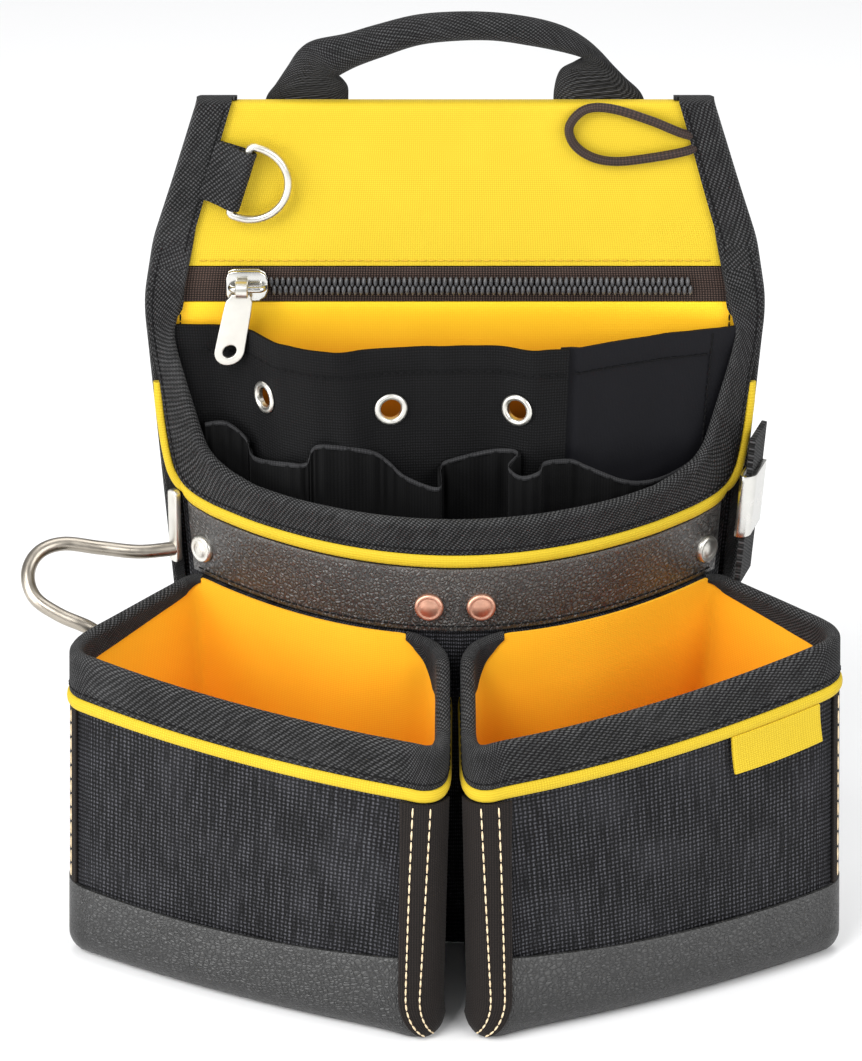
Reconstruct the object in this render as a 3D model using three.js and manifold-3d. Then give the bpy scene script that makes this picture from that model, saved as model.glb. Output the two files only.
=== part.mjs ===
import * as THREE from "three";
import { mergeVertices } from "three/addons/utils/BufferGeometryUtils.js";
import Module from "manifold-3d";

// Tool pouch in millimetres, +Z up, front faces -Y
// Origin: middle of the back panel's lower edge, on the surface that the pouch stands on

// Sheet thicknesses and the clearance kept between pieces
const GAP = 0.3;
const CLOTH = 1.5;
const TAPE = 1.2;
const THIN = 1.0;
// Corners closer than this are one corner
const MERGE = 1e-4;
// Share of even spacing across the main pouch; the rest crowds towards its ends
const EVEN = 0.6;

// Back panel: half width of the sewn outline by height
const OUTLINE = [
  { z: 0, half: 86.5 },
  { z: 209, half: 101 },
  { z: 217, half: 100.8 },
  { z: 236, half: 97.5 },
  { z: 256, half: 90.8 },
  { z: 285, half: 81.5 },
];
const BACK = { thick: 3, topZ: 283.2, inset: 0.6 };
const UPPER = { lowZ: 227, topZ: 285, inset: 2.2, columns: 6 };
// Fold of the upper panel over the top edge: distance in from its front, distance down from its top
const UPPER_FOLD = [
  { back: 0, down: 1.6 },
  { back: 0.6, down: 0.4 },
  { back: 1.8, down: 0 },
];

// Side bindings: width of the front leg and front face by height
const BINDING_ROWS = [
  { z: 285, leg: 11.5, front: -4.8 },
  { z: 256, leg: 11.5, front: -4.8 },
  { z: 236, leg: 11.5, front: -4.8 },
  { z: 217, leg: 11.5, front: -4.8 },
  { z: 213, leg: 11.5, front: -4.8 },
  { z: 210, leg: 3, front: -3 },
  { z: 105, leg: 3, front: -3 },
  { z: 0.4, leg: 3, front: -3 },
];
const BINDING = { backLeg: 11.5, backFace: 3, fold: 1.5 };

// Zip: row of teeth, slider and hinged pull
const ZIP = { z: 220.4, lowZ: 214.5, highZ: 226.7, left: -61.3, right: 77.6 };
const TEETH = { count: 36, tall: 6.5, deep: 2, root: 0.4, flank: 0.25 };
const SLIDER = { left: -74, right: -62, lift: 1, tall: 9, body: 3.7 };
const BRIDGE = { tall: 2.2, deep: 2, post: 1.6, y: -10.2 };
const PULL = { x: -69.9, wide: 8.6, long: 26, thick: 1.6, lean: 0.2, arcSteps: 8 };
const PULL_NECK = { half: 2.4, z: -2.2, waistIn: 0.4, waistZ: -5 };
const PULL_EYE = { long: 4.2, inner: 1.85, outer: 2.9, sides: 14 };
const PULL_HOLE = { radius: 2.6, sides: 12 };

// Main pouch: plan curve, rim height and the lower edge of its rim binding
const MAIN = { baseHalf: 83, topHalf: 97.5, topZ: 209, depth: 52, backY: -3.2 };
const WALL = { thick: 1.8, lowZ: 1, reach: 0.985, evenReach: 0.8, evenSteps: 14, seamDrop: 3 };
const RIM = [
  { u: 0, z: 159 },
  { u: 0.58, z: 159 },
  { u: 0.71, z: 159.5 },
  { u: 0.8, z: 161.6 },
  { u: 0.86, z: 164.5 },
  { u: 0.895, z: 168.5 },
  { u: 0.912, z: 175 },
  { u: 0.928, z: 182 },
  { u: 0.944, z: 192 },
  { u: 0.955, z: 199 },
  { u: 0.965, z: 204 },
  { u: 0.985, z: 206 },
];
const RIM_SEAM = [
  { u: 0, z: 147.3 },
  { u: 0.7, z: 147.5 },
  { u: 0.86, z: 148 },
  { u: 0.93, z: 149 },
  { u: 0.965, z: 151 },
  { u: 0.985, z: 158 },
];
// How far the wall's top edge stays under the rim
const WALL_DROP = [
  { u: 0, drop: 2.6 },
  { u: 0.8, drop: 2.6 },
  { u: 0.9, drop: 9 },
  { u: 0.985, drop: 10 },
];
// The piping turns up the side edge of the panel: its middle on the right, its turn in degrees, its width
const PIPE_REACH = 0.965;
const PIPE_RUN = [
  { x: 93, y: -7, z: 151.2, turn: 28, wide: 4 },
  { x: 95, y: -6.6, z: 155.2, turn: 52, wide: 3.2 },
  { x: 96.3, y: -6.2, z: 160.8, turn: 68, wide: 3 },
  { x: 97.2, y: -5.8, z: 166.8, turn: 78, wide: 3 },
  { x: 97.9, y: -5.7, z: 173, turn: 85, wide: 3 },
  { x: 98.5, y: -5.7, z: 180, turn: 88, wide: 3 },
  { x: 98.8, y: -5.7, z: 187, turn: 90, wide: 3 },
];
const PIPE_RUN_FACING = { x: 0.5, y: -0.866 };
const PIPE = { tall: 4.4, deep: 2, edge: 0.65, flank: 0.25 };
const BAND = { lowZ: 119.8, reach: 0.95, steps: 24 };
const FLOOR = { z: 2, thick: 2, slack: 0.2, reach: 0.95, steps: 20 };
const LINING = { lowZ: 8, inset: 5 };

// Rivets: place across the band, height, look
const RIVET = { radius: 4.75, sides: 12 };
const RIVET_PROFILE = [
  { share: 1, up: 0 },
  { share: 1, up: 0.6 },
  { share: 0.78, up: 1.7 },
  { share: 0.4, up: 2.2 },
];
const RIVETS = [
  { name: "rivet_copper_left", u: -0.09, z: 128.7, look: "copper" },
  { name: "rivet_copper_right", u: 0.09, z: 128.7, look: "copper" },
  { name: "rivet_steel_left", u: -0.905, z: 129.5, look: "steel" },
  { name: "rivet_steel_right", u: 0.905, z: 129.5, look: "steel" },
];

// Inner pockets: plan of the eyelet panel and flat pocket, then the gathers of the front row
const EYELET_FOLDS = [
  { x: -86, y: -5 },
  { x: -70, y: -6.5 },
  { x: -57, y: -24.5 },
  { x: -40, y: -24.5 },
  { x: -22, y: -23 },
  { x: -4, y: -21.5 },
  { x: 12, y: -18.5 },
  { x: 30, y: -30 },
  { x: 37, y: -31 },
  { x: 60, y: -21 },
  { x: 86, y: -5 },
];
const PANEL = { topZ: 207, fullZ: 135, lowZ: 72, left: -86, split: 37.5, right: 86, low: -4.6, step: 9 };
const PANEL_STEPS = [86, 100, 118];
// Even columns closer to a fold than this share of a step are left out
const FOLD_CLEAR = 0.3;
const GATHERS = [
  { from: -77, to: -31, deep: 2.5 },
  { from: -31, to: 16, deep: 15 },
  { from: 16, to: 38, deep: 8 },
  { from: 38, to: 80, deep: 5 },
];
const LOOPS = { topZ: 171, sag: 0.5, fullZ: 140, lowZ: 90, left: -77, right: 80, step: 4.6, out: 3.7 };
const LOOP_STEPS = [102, 122];
const EYELET = { z: 185.5, outer: 5.5, inner: 3.4, barrel: 3.9, sides: 12 };
const EYELET_RIM = { flange: 1.1, taper: 0.85, tail: 0.2 };
const EYELET_HOLE = { radius: 4.2, deep: 8 };
const EYELET_PLACES = [-63.5, -21.3, 20.7];

// Nail pouch on the right; the left one mirrors it
const NAIL = { rimZ: 108, backGap: 0.8, innerU: 0.035, outerU: 0.955 };
const NAIL_CUP = { bottomRound: 4.5, topDrop: 2.6, bendSteps: 4 };
// Places along the back of a nail pouch: where its corners aim, and where its straight run starts and stops
const NAIL_BACK = { outerAim: 0.1, innerAim: 0.88, from: 0.14, to: 0.84 };
const NAIL_CORNERS = {
  innerFront: { rimX: 3.2, rimY: -118, baseX: 6.5, baseY: -121 },
  outerFront: { rimX: 131, rimY: -51, baseX: 134.5, baseY: -60 },
};
const NAIL_CUTS = {
  innerBack: { rim: 9, base: 9 },
  innerFront: { rim: 13, base: 19 },
  outerFront: { rim: 13, base: 13 },
  outerBack: { rim: 9, base: 9 },
};
const NAIL_SIDES = { inner: 2, front: 7, outer: 3, back: 8 };
const NAIL_BULGE = { rim: 4, base: 3 };
const NAIL_LEG = 14.5;

// Height of the nail pouch rim by place along its loop
const NAIL_RIM = [
  { at: 0, z: 116 },
  { at: 4, z: 113 },
  { at: 9, z: 107 },
  { at: 21, z: 110 },
  { at: 29, z: 120 },
  { at: 32, z: 121 },
  { at: 40, z: 121 },
];

// Places along the loop where the trim of a nail pouch starts and stops
const TRIM = {
  binding: { from: 2, to: 27 },
  guard: { from: 11.6, to: 23 },
  guardTop: 27,
  guardTurns: [0.7, 0.35, 0],
  innerTape: { from: 6.4, to: 11.5 },
  outerTape: { from: 20, to: 22.4 },
  tag: { from: 16.6, to: 18.9, top: 87.4, low: 75 },
};

// Carry handle: middle line, width across and depth
const HANDLE_Y = 3;
const HANDLE_HALF = [
  { x: -48.5, z: 266, wide: 27, deep: 2.4 },
  { x: -48.5, z: 284, wide: 28, deep: 2.4 },
  { x: -47, z: 291.5, wide: 23, deep: 4 },
  { x: -42.5, z: 297.5, wide: 14, deep: 8 },
  { x: -33, z: 301.5, wide: 10, deep: 10 },
  { x: -17, z: 305.5, wide: 9.5, deep: 10 },
];
const HANDLE_TOP = { x: 0, z: 307, wide: 9.5, deep: 10 };
const HANDLE_SIDES = 10;

// D-ring with its webbing tab, lying along the slanted side binding
const RING = { wire: 1.3, half: 12.4, straight: 3.5, corner: 1.6, sides: 7, arcSteps: 14 };
const RING_BAR_SHARES = [-1, -0.33, 0.33, 1];
const TAB = { z: 260.5, wide: 20.6, long: 8, thick: 2.8, swell: 0.8, arcSteps: 10 };
const TAB_EYE = { inner: 1.7, outer: 3.1, sides: 12 };

// Elastic loop: middle line of the cord, lying on the upper panel
const ELASTIC = { radius: 1.5, sides: 8, steps: 20, y: -5.2 };
const ELASTIC_ROUTE = [
  { x: 72.2, z: 274 },
  { x: 62.7, z: 278 },
  { x: 50, z: 282 },
  { x: 41.7, z: 281.6 },
  { x: 36.8, z: 276 },
  { x: 38.3, z: 270 },
  { x: 44, z: 265.6 },
  { x: 52, z: 264 },
  { x: 63, z: 265.2 },
  { x: 74.2, z: 267.4 },
];

// Hammer holder on the left: strip on the pouch, wire loop and foot on the nail pouch
const HAMMER = { wire: 2.4, sides: 8, steps: 28 };
const HAMMER_STRIP = { u: -0.985, out: 2.7, wide: 5, thick: 3, lowZ: 122.5, highZ: 147, joinZ: 126.7 };
const HAMMER_FOOT = { at: 25.7, z: 86, wide: 12, tall: 14, thick: 2 };
// The wire's last two points: distance out from the foot, height over its middle
const HAMMER_END = [
  { out: 4.6, up: 3 },
  { out: 1.4, up: 0 },
];
const HAMMER_ROUTE = [
  { x: -106, y: -10, z: 126.5 },
  { x: -119.6, y: -9, z: 127.5 },
  { x: -132, y: -9, z: 129 },
  { x: -140, y: -13, z: 127.5 },
  { x: -143.2, y: -19, z: 122.5 },
  { x: -140.5, y: -25, z: 116.5 },
  { x: -132, y: -29, z: 112 },
  { x: -121.8, y: -31, z: 108 },
  { x: -116.5, y: -28, z: 101 },
];

// Tape clip on the right: webbing strap standing off the side edge and a bent steel clip over it
const STRAP = { thick: 2, frontY: -17, backY: -1.6, lowZ: 117, highZ: 171 };
const CLIP = { thick: 1.5, frontY: -18.9, backY: -4.2, lowZ: 136, highZ: 158 };

// Belt tunnel at the back: strap section, half length along the belt
const TUNNEL = { half: 62, lowZ: 162, highZ: 246, foot: 9, rise: 7.6, thick: 2 };

// Looks
const LOOKS = {
  black: { color: 0x1d1e21, roughness: 0.9, metalness: 0 },
  vinyl: { color: 0x2b2c2f, roughness: 0.6, metalness: 0 },
  yellow: { color: 0xf6c21a, roughness: 0.85, metalness: 0 },
  orange: { color: 0xf2a41c, roughness: 0.85, metalness: 0 },
  steel: { color: 0xc9cbce, roughness: 0.25, metalness: 1 },
  copper: { color: 0xb9744a, roughness: 0.3, metalness: 1 },
};

const wasm = await Module();
wasm.setup();
const group = new THREE.Group();
group.name = "tool_pouch";

// Small helpers
const point = (x, y, z) => new THREE.Vector3(x, y, z);
const flatPoint = (x, y) => new THREE.Vector2(x, y);
const mirroredPoint = (here) => point(-here.x, here.y, here.z);
const mix = (a, b, share) => a + (b - a) * share;
const smooth = (share) => share * share * (3 - 2 * share);
const between = (low, high, value) => Math.min(Math.max((value - low) / (high - low), 0), 1);

function lookUp(table, key, value, column) {
  const rows = [...table].sort((a, b) => a[key] - b[key]);
  const last = rows.length - 1;
  const held = Math.min(Math.max(value, rows[0][key]), rows[last][key]);
  const after = Math.max(1, rows.findIndex((row) => row[key] >= held));
  const low = rows[after - 1];
  const high = rows[after];
  return mix(low[column], high[column], (held - low[key]) / (high[key] - low[key]));
}

function spread(count, reach) {
  return Array.from({ length: count + 1 }, (_, index) => {
    const place = (2 * index) / count - 1;
    return reach * mix(Math.sin((Math.PI / 2) * place), place, EVEN);
  });
}

function signedVolume(places, index) {
  const a = point();
  const b = point();
  const c = point();
  let total = 0;
  for (let face = 0; face < index.length; face += 3) {
    a.fromArray(places, 3 * index[face]);
    b.fromArray(places, 3 * index[face + 1]);
    c.fromArray(places, 3 * index[face + 2]);
    total += a.dot(b.cross(c));
  }
  return total;
}

// A closed body whose faces look outward
function body(places, index) {
  if (signedVolume(places, index) < 0) {
    for (let face = 0; face < index.length; face += 3) {
      [index[face + 1], index[face + 2]] = [index[face + 2], index[face + 1]];
    }
  }
  const geometry = new THREE.BufferGeometry();
  geometry.setAttribute("position", new THREE.Float32BufferAttribute(places, 3));
  geometry.setIndex(index);
  geometry.computeVertexNormals();
  return geometry;
}

function mirrored(geometry) {
  const kept = geometry.attributes.position.array;
  const places = Array.from(kept, (value, at) => (at % 3 === 0 ? -value : value));
  return body(places, Array.from(geometry.index.array));
}

// A cloth sheet: the grid is its outer face, the inner face lies one thickness behind
function sheet(grid, thick) {
  const rows = grid.length;
  const columns = grid[0].length;
  const places = [];
  const inner = [];
  for (let row = 0; row < rows; row += 1) {
    for (let column = 0; column < columns; column += 1) {
      const before = grid[Math.max(row - 1, 0)][column];
      const after = grid[Math.min(row + 1, rows - 1)][column];
      const left = grid[row][Math.max(column - 1, 0)];
      const right = grid[row][Math.min(column + 1, columns - 1)];
      const along = after.clone().sub(before).normalize();
      const across = right.clone().sub(left).normalize();
      const normal = along.cross(across).normalize();
      const outer = grid[row][column];
      places.push(outer.x, outer.y, outer.z);
      inner.push(...outer.clone().addScaledVector(normal, -thick).toArray());
    }
  }
  const shift = rows * columns;
  const index = [];
  const quad = (a, b, c, d) => index.push(a, b, c, a, c, d);
  for (let row = 0; row < rows - 1; row += 1) {
    for (let column = 0; column < columns - 1; column += 1) {
      const a = row * columns + column;
      const b = a + columns;
      quad(a, b, b + 1, a + 1);
      quad(a + shift, a + 1 + shift, b + 1 + shift, b + shift);
    }
    const first = row * columns;
    const last = first + columns - 1;
    quad(first, first + shift, first + columns + shift, first + columns);
    quad(last, last + columns, last + columns + shift, last + shift);
  }
  const end = (rows - 1) * columns;
  for (let column = 0; column < columns - 1; column += 1) {
    quad(column, column + 1, column + 1 + shift, column + shift);
    quad(end + column, end + column + shift, end + column + 1 + shift, end + column + 1);
  }
  return body([...places, ...inner], index);
}

// A body through rings of equal count, closed with a fan at both ends or joined end to start
function loft(rings, joined = false) {
  const count = rings[0].length;
  const places = rings.flat().flatMap((here) => here.toArray());
  const index = [];
  const spans = joined ? rings.length : rings.length - 1;
  for (let span = 0; span < spans; span += 1) {
    const low = span * count;
    const high = ((span + 1) % rings.length) * count;
    const rising = rings[(span + 1) % rings.length][0].z >= rings[span][0].z;
    for (let at = 0; at < count; at += 1) {
      const next = (at + 1) % count;
      const kept = rising ? [high + next, low + at] : [high + at, low + next];
      index.push(low + at, low + next, kept[0], kept[1], high + next, high + at);
    }
  }
  if (!joined) {
    const end = (rings.length - 1) * count;
    const middles = [rings[0], rings[rings.length - 1]].map((ring) => {
      const total = ring.reduce((sum, here) => sum.add(here), point(0, 0, 0));
      return total.multiplyScalar(1 / count);
    });
    const first = rings.length * count;
    places.push(...middles[0].toArray(), ...middles[1].toArray());
    for (let at = 0; at < count; at += 1) {
      const next = (at + 1) % count;
      index.push(first, next, at);
      index.push(first + 1, end + at, end + next);
    }
  }
  return body(places, index);
}

function circle(radius, sides) {
  return Array.from({ length: sides }, (_, at) => {
    const turn = (2 * Math.PI * at) / sides;
    return flatPoint(radius * Math.cos(turn), radius * Math.sin(turn));
  });
}

// A plate cut to an outline, from zero up to its depth along Z
function plate(outline, depth, holes = []) {
  const shape = new THREE.Shape(outline);
  shape.holes = holes.map((hole) => new THREE.Path(hole));
  return new THREE.ExtrudeGeometry(shape, { depth, bevelEnabled: false });
}

// Outline drawn in X and Z, thickness from the front face back along +Y
function standing(outline, frontY, depth, holes = []) {
  const geometry = plate(outline, depth, holes);
  geometry.rotateX(Math.PI / 2);
  geometry.translate(0, frontY + depth, 0);
  return geometry;
}

function box(low, high) {
  const geometry = new THREE.BoxGeometry(high.x - low.x, high.y - low.y, high.z - low.z);
  const middle = low.clone().add(high).multiplyScalar(0.5);
  geometry.translate(middle.x, middle.y, middle.z);
  return geometry;
}

function facing(geometry, place, normal) {
  const turn = new THREE.Quaternion().setFromUnitVectors(point(0, 0, 1), normal);
  geometry.applyQuaternion(turn);
  geometry.translate(place.x, place.y, place.z);
  return geometry;
}

function toManifold(geometry) {
  const plain = new THREE.BufferGeometry();
  plain.setAttribute("position", geometry.getAttribute("position").clone());
  plain.setIndex(geometry.index);
  const merged = mergeVertices(plain, MERGE);
  const vertProperties = Float32Array.from(merged.attributes.position.array);
  const triVerts = Uint32Array.from(merged.index.array);
  return new wasm.Manifold(new wasm.Mesh({ numProp: 3, vertProperties, triVerts }));
}

function fromManifold(solid) {
  const mesh = solid.getMesh();
  return body(Array.from(mesh.vertProperties), Array.from(mesh.triVerts));
}

function joinAll(geometries) {
  const solids = geometries.map(toManifold);
  return fromManifold(solids.reduce((total, next) => total.add(next)));
}

function cutFrom(geometry, cutters) {
  const solids = cutters.map(toManifold);
  return fromManifold(solids.reduce((total, next) => total.subtract(next), toManifold(geometry)));
}

function add(name, geometry, look) {
  const mesh = new THREE.Mesh(geometry, new THREE.MeshStandardMaterial(LOOKS[look]));
  mesh.name = name;
  group.add(mesh);
}

const outlineHalf = (z) => lookUp(OUTLINE, "z", z, "half");
const outlineHeights = (lowZ, highZ) => OUTLINE.map((row) => row.z).filter((z) => z > lowZ && z < highZ);

// Outline in X and Z that follows the sewn edge, drawn in from it
function panelOutline(lowZ, highZ, halfAt) {
  const heights = [lowZ, ...outlineHeights(lowZ, highZ), highZ];
  const right = heights.map((z) => flatPoint(halfAt(z), z));
  const left = heights.map((z) => flatPoint(-halfAt(z), z)).reverse();
  return [...right, ...left];
}

// Back panel, belt tunnel, upper panel
const backFront = -BACK.thick / 2;
const backRear = BACK.thick / 2;
const backOutline = panelOutline(0, BACK.topZ, (z) => outlineHalf(z) - BACK.inset);
add("back_panel", standing(backOutline, backFront, BACK.thick), "black");

const tunnelSeat = backRear + GAP;
const tunnelFar = tunnelSeat + TUNNEL.rise;
const tunnelSection = [
  { y: tunnelSeat, z: TUNNEL.lowZ },
  { y: tunnelSeat, z: TUNNEL.lowZ + TUNNEL.foot },
  { y: tunnelFar, z: TUNNEL.lowZ + TUNNEL.foot + TUNNEL.thick },
  { y: tunnelFar, z: TUNNEL.highZ - TUNNEL.foot - TUNNEL.thick },
  { y: tunnelSeat, z: TUNNEL.highZ - TUNNEL.foot },
  { y: tunnelSeat, z: TUNNEL.highZ },
  { y: tunnelSeat + TUNNEL.thick, z: TUNNEL.highZ },
  { y: tunnelFar + TUNNEL.thick, z: TUNNEL.highZ - TUNNEL.foot },
  { y: tunnelFar + TUNNEL.thick, z: TUNNEL.lowZ + TUNNEL.foot },
  { y: tunnelSeat + TUNNEL.thick, z: TUNNEL.lowZ },
];
const tunnel = plate(tunnelSection.map((row) => flatPoint(row.y, row.z)), 2 * TUNNEL.half);
const tunnelFrame = new THREE.Matrix4().makeBasis(point(0, 1, 0), point(0, 0, 1), point(1, 0, 0));
tunnelFrame.setPosition(-TUNNEL.half, 0, 0);
add("belt_tunnel", tunnel.applyMatrix4(tunnelFrame), "black");

const upperFront = backFront - GAP - CLOTH;
const upperHeights = [UPPER.lowZ, ...outlineHeights(UPPER.lowZ, UPPER.topZ)];
const upperProfile = [
  ...upperHeights.map((z) => ({ y: upperFront, z })),
  ...UPPER_FOLD.map((row) => ({ y: upperFront + row.back, z: UPPER.topZ - row.down })),
  { y: backRear, z: UPPER.topZ },
];
const upperGrid = Array.from({ length: UPPER.columns + 1 }, (_, column) => {
  const share = (2 * column) / UPPER.columns - 1;
  return upperProfile.map((row) => point(share * (outlineHalf(row.z) - UPPER.inset), row.y, row.z));
});
add("upper_panel", sheet(upperGrid, CLOTH), "yellow");

// Side bindings
const bindingGrid = [...BINDING_ROWS].sort((a, b) => b.z - a.z).map((row) => {
  const half = outlineHalf(row.z);
  return [
    point(half - row.leg, row.front, row.z),
    point(half, row.front, row.z),
    point(half + BINDING.fold, row.front + BINDING.fold, row.z),
    point(half + BINDING.fold, BINDING.backFace - BINDING.fold, row.z),
    point(half, BINDING.backFace, row.z),
    point(half - BINDING.backLeg, BINDING.backFace, row.z),
  ];
});
const sideBinding = sheet(bindingGrid, TAPE);
add("side_binding_right", sideBinding, "black");
add("side_binding_left", mirrored(sideBinding), "black");

// Zip tape and row of teeth
const tapeFront = backFront - GAP - TAPE;
const tapeOutline = panelOutline(ZIP.lowZ, ZIP.highZ, (z) => outlineHalf(z) - UPPER.inset);
add("zip_tape", standing(tapeOutline, tapeFront, TAPE), "black");

const toothPitch = (ZIP.right - ZIP.left) / TEETH.count;
const toothBack = tapeFront - GAP;
const toothRoot = toothBack - TEETH.deep * TEETH.root;
const toothTip = toothBack - TEETH.deep;
const toothLine = [flatPoint(ZIP.right, toothBack), flatPoint(ZIP.left, toothBack)];
for (let tooth = 0; tooth < TEETH.count; tooth += 1) {
  const start = ZIP.left + tooth * toothPitch;
  toothLine.push(flatPoint(start, toothRoot));
  toothLine.push(flatPoint(start + toothPitch * TEETH.flank, toothTip));
  toothLine.push(flatPoint(start + toothPitch * (1 - TEETH.flank), toothTip));
}
toothLine.push(flatPoint(ZIP.right, toothRoot));
const teeth = plate(toothLine, TEETH.tall);
teeth.translate(0, 0, ZIP.z - TEETH.tall / 2);
add("zip_teeth", teeth, "black");

// Zip slider with its bridge, and the pull whose eye turns on the bridge
const sliderZ = ZIP.z + SLIDER.lift;
const sliderBack = tapeFront - GAP;
const sliderFace = sliderBack - SLIDER.body;
const bridgeFar = BRIDGE.y - BRIDGE.deep / 2;
const bridgeNear = BRIDGE.y + BRIDGE.deep / 2;
const halfBar = BRIDGE.tall / 2;
const sliderParts = [
  box(
    point(SLIDER.left, sliderFace, sliderZ - SLIDER.tall / 2),
    point(SLIDER.right, sliderBack, sliderZ + SLIDER.tall / 2),
  ),
  box(point(SLIDER.left, bridgeFar, sliderZ - halfBar), point(SLIDER.right, bridgeNear, sliderZ + halfBar)),
  box(
    point(SLIDER.left, bridgeFar, sliderZ - halfBar),
    point(SLIDER.left + BRIDGE.post, sliderFace + CLOTH, sliderZ + halfBar),
  ),
  box(
    point(SLIDER.right - BRIDGE.post, bridgeFar, sliderZ - halfBar),
    point(SLIDER.right, sliderFace + CLOTH, sliderZ + halfBar),
  ),
];
add("zip_slider", joinAll(sliderParts), "steel");

const eyeBore = circle(PULL_EYE.inner, PULL_EYE.sides);
const eyeRing = plate(circle(PULL_EYE.outer, PULL_EYE.sides), PULL_EYE.long, [eyeBore]);
eyeRing.rotateY(Math.PI / 2);
eyeRing.translate(PULL.x - PULL_EYE.long / 2, BRIDGE.y, sliderZ);
const pullHalf = PULL.wide / 2;
const pullEnd = PULL.long - pullHalf;
const waist = pullHalf - PULL_NECK.waistIn;
const pullOutline = [
  flatPoint(PULL_NECK.half, PULL_NECK.z),
  flatPoint(-PULL_NECK.half, PULL_NECK.z),
  flatPoint(-waist, PULL_NECK.waistZ),
];
for (let step = 0; step <= PULL.arcSteps; step += 1) {
  const turn = Math.PI + (Math.PI * step) / PULL.arcSteps;
  pullOutline.push(flatPoint(pullHalf * Math.cos(turn), -pullEnd + pullHalf * Math.sin(turn)));
}
pullOutline.push(flatPoint(waist, PULL_NECK.waistZ));
const pullRound = circle(PULL_HOLE.radius, PULL_HOLE.sides);
const pullHole = pullRound.map((here) => flatPoint(here.x, here.y - pullEnd));
const pullPlate = standing(pullOutline, BRIDGE.y - PULL.thick / 2, PULL.thick, [pullHole]);
const leaning = new THREE.Matrix4().set(
  1, 0, PULL.lean, PULL.x,
  0, 1, 0, 0,
  0, 0, 1, sliderZ,
  0, 0, 0, 1,
);
pullPlate.applyMatrix4(leaning);
add("zip_pull", joinAll([eyeRing, pullPlate]), "steel");

// Main pouch surface: place across, height, distance outward
const mainHalf = (z) => mix(MAIN.baseHalf, MAIN.topHalf, z / MAIN.topZ);

function mainFront(u, z, out) {
  const half = mainHalf(z);
  const slope = (2 * MAIN.depth * u) / half;
  const length = Math.hypot(slope, 1);
  const y = MAIN.backY - MAIN.depth * (1 - u * u);
  return point(half * u + (out * slope) / length, y - out / length, z);
}

function mainNormal(u, z) {
  return mainFront(u, z, 1).sub(mainFront(u, z, 0)).normalize();
}

const rimAt = (u) => lookUp(RIM, "u", Math.abs(u), "z");
const seamAt = (u) => lookUp(RIM_SEAM, "u", Math.abs(u), "z");
const wallDrop = (u) => lookUp(WALL_DROP, "u", Math.abs(u), "drop");

const endStations = RIM.map((row) => row.u).filter((u) => u > WALL.evenReach);
const evenStations = spread(WALL.evenSteps, WALL.evenReach);
const mainStations = [...endStations.map((u) => -u).reverse(), ...evenStations, ...endStations];
const mainGrid = mainStations.map((u) => {
  const heights = [WALL.lowZ, BAND.lowZ, seamAt(u) - WALL.seamDrop, rimAt(u) - wallDrop(u)];
  return heights.map((z) => mainFront(u, z, 0));
});
add("main_wall", sheet(mainGrid, WALL.thick), "black");

const floorOut = -WALL.thick - GAP - FLOOR.slack;
const floorLine = spread(FLOOR.steps, FLOOR.reach).map((u) => mainFront(u, FLOOR.z, floorOut));
const floorOutline = floorLine.map((here) => flatPoint(here.x, here.y));
const mainFloor = plate(floorOutline, FLOOR.thick);
mainFloor.translate(0, 0, FLOOR.z);
add("main_floor", mainFloor, "black");

// Orange lining: shows under the zip and is the back of the main pouch
const liningOutline = panelOutline(LINING.lowZ, ZIP.lowZ - GAP, (z) => mainHalf(z) - LINING.inset);
add("back_lining", standing(liningOutline, tapeFront, TAPE), "orange");

// Rim binding, piping and rivet band of the main pouch
const legOut = GAP + TAPE;
const legIn = -WALL.thick - GAP - TAPE;

const rimGrid = mainStations.map((u) => {
  const rim = rimAt(u);
  const seam = seamAt(u);
  return [
    mainFront(u, seam, legOut),
    mainFront(u, rim - TAPE, legOut),
    mainFront(u, rim, -WALL.thick / 2),
    mainFront(u, rim - TAPE, legIn),
    mainFront(u, seam, legIn),
  ];
});
add("main_rim_binding", sheet(rimGrid, TAPE), "black");

const pipeSection = [
  { out: 0, up: 0 },
  { out: PIPE.deep * PIPE.edge, up: 0 },
  { out: PIPE.deep, up: PIPE.tall * PIPE.flank },
  { out: PIPE.deep, up: PIPE.tall * (1 - PIPE.flank) },
  { out: PIPE.deep * PIPE.edge, up: PIPE.tall },
  { out: 0, up: PIPE.tall },
];
const mainPipe = mainStations.filter((u) => Math.abs(u) <= PIPE_REACH).map((u) => {
  const low = seamAt(u) - GAP - PIPE.tall;
  return pipeSection.map((corner) => mainFront(u, low + corner.up, GAP + corner.out));
});
const pipeRun = PIPE_RUN.map((row) => {
  const turn = (row.turn * Math.PI) / 180;
  const outward = point(PIPE_RUN_FACING.x, PIPE_RUN_FACING.y, 0).normalize();
  const inward = point(outward.y, -outward.x, 0);
  const rise = point(0, 0, Math.cos(turn)).addScaledVector(inward, Math.sin(turn));
  return pipeSection.map((corner) => {
    const here = point(row.x, row.y, row.z).addScaledVector(outward, corner.out - PIPE.deep / 2);
    return here.addScaledVector(rise, (corner.up / PIPE.tall - 0.5) * row.wide);
  });
});
const pipeRunLeft = pipeRun.map((ring) => ring.map(mirroredPoint)).reverse();
add("main_piping", loft([...pipeRunLeft, ...mainPipe, ...pipeRun]), "yellow");

const bandOut = GAP + CLOTH;
const bandGrid = spread(BAND.steps, BAND.reach).map((u) => {
  const top = seamAt(u) - PIPE.tall - 3 * GAP;
  return [BAND.lowZ, top].map((z) => mainFront(u, z, bandOut));
});
add("rivet_band", sheet(bandGrid, CLOTH), "vinyl");

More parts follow.
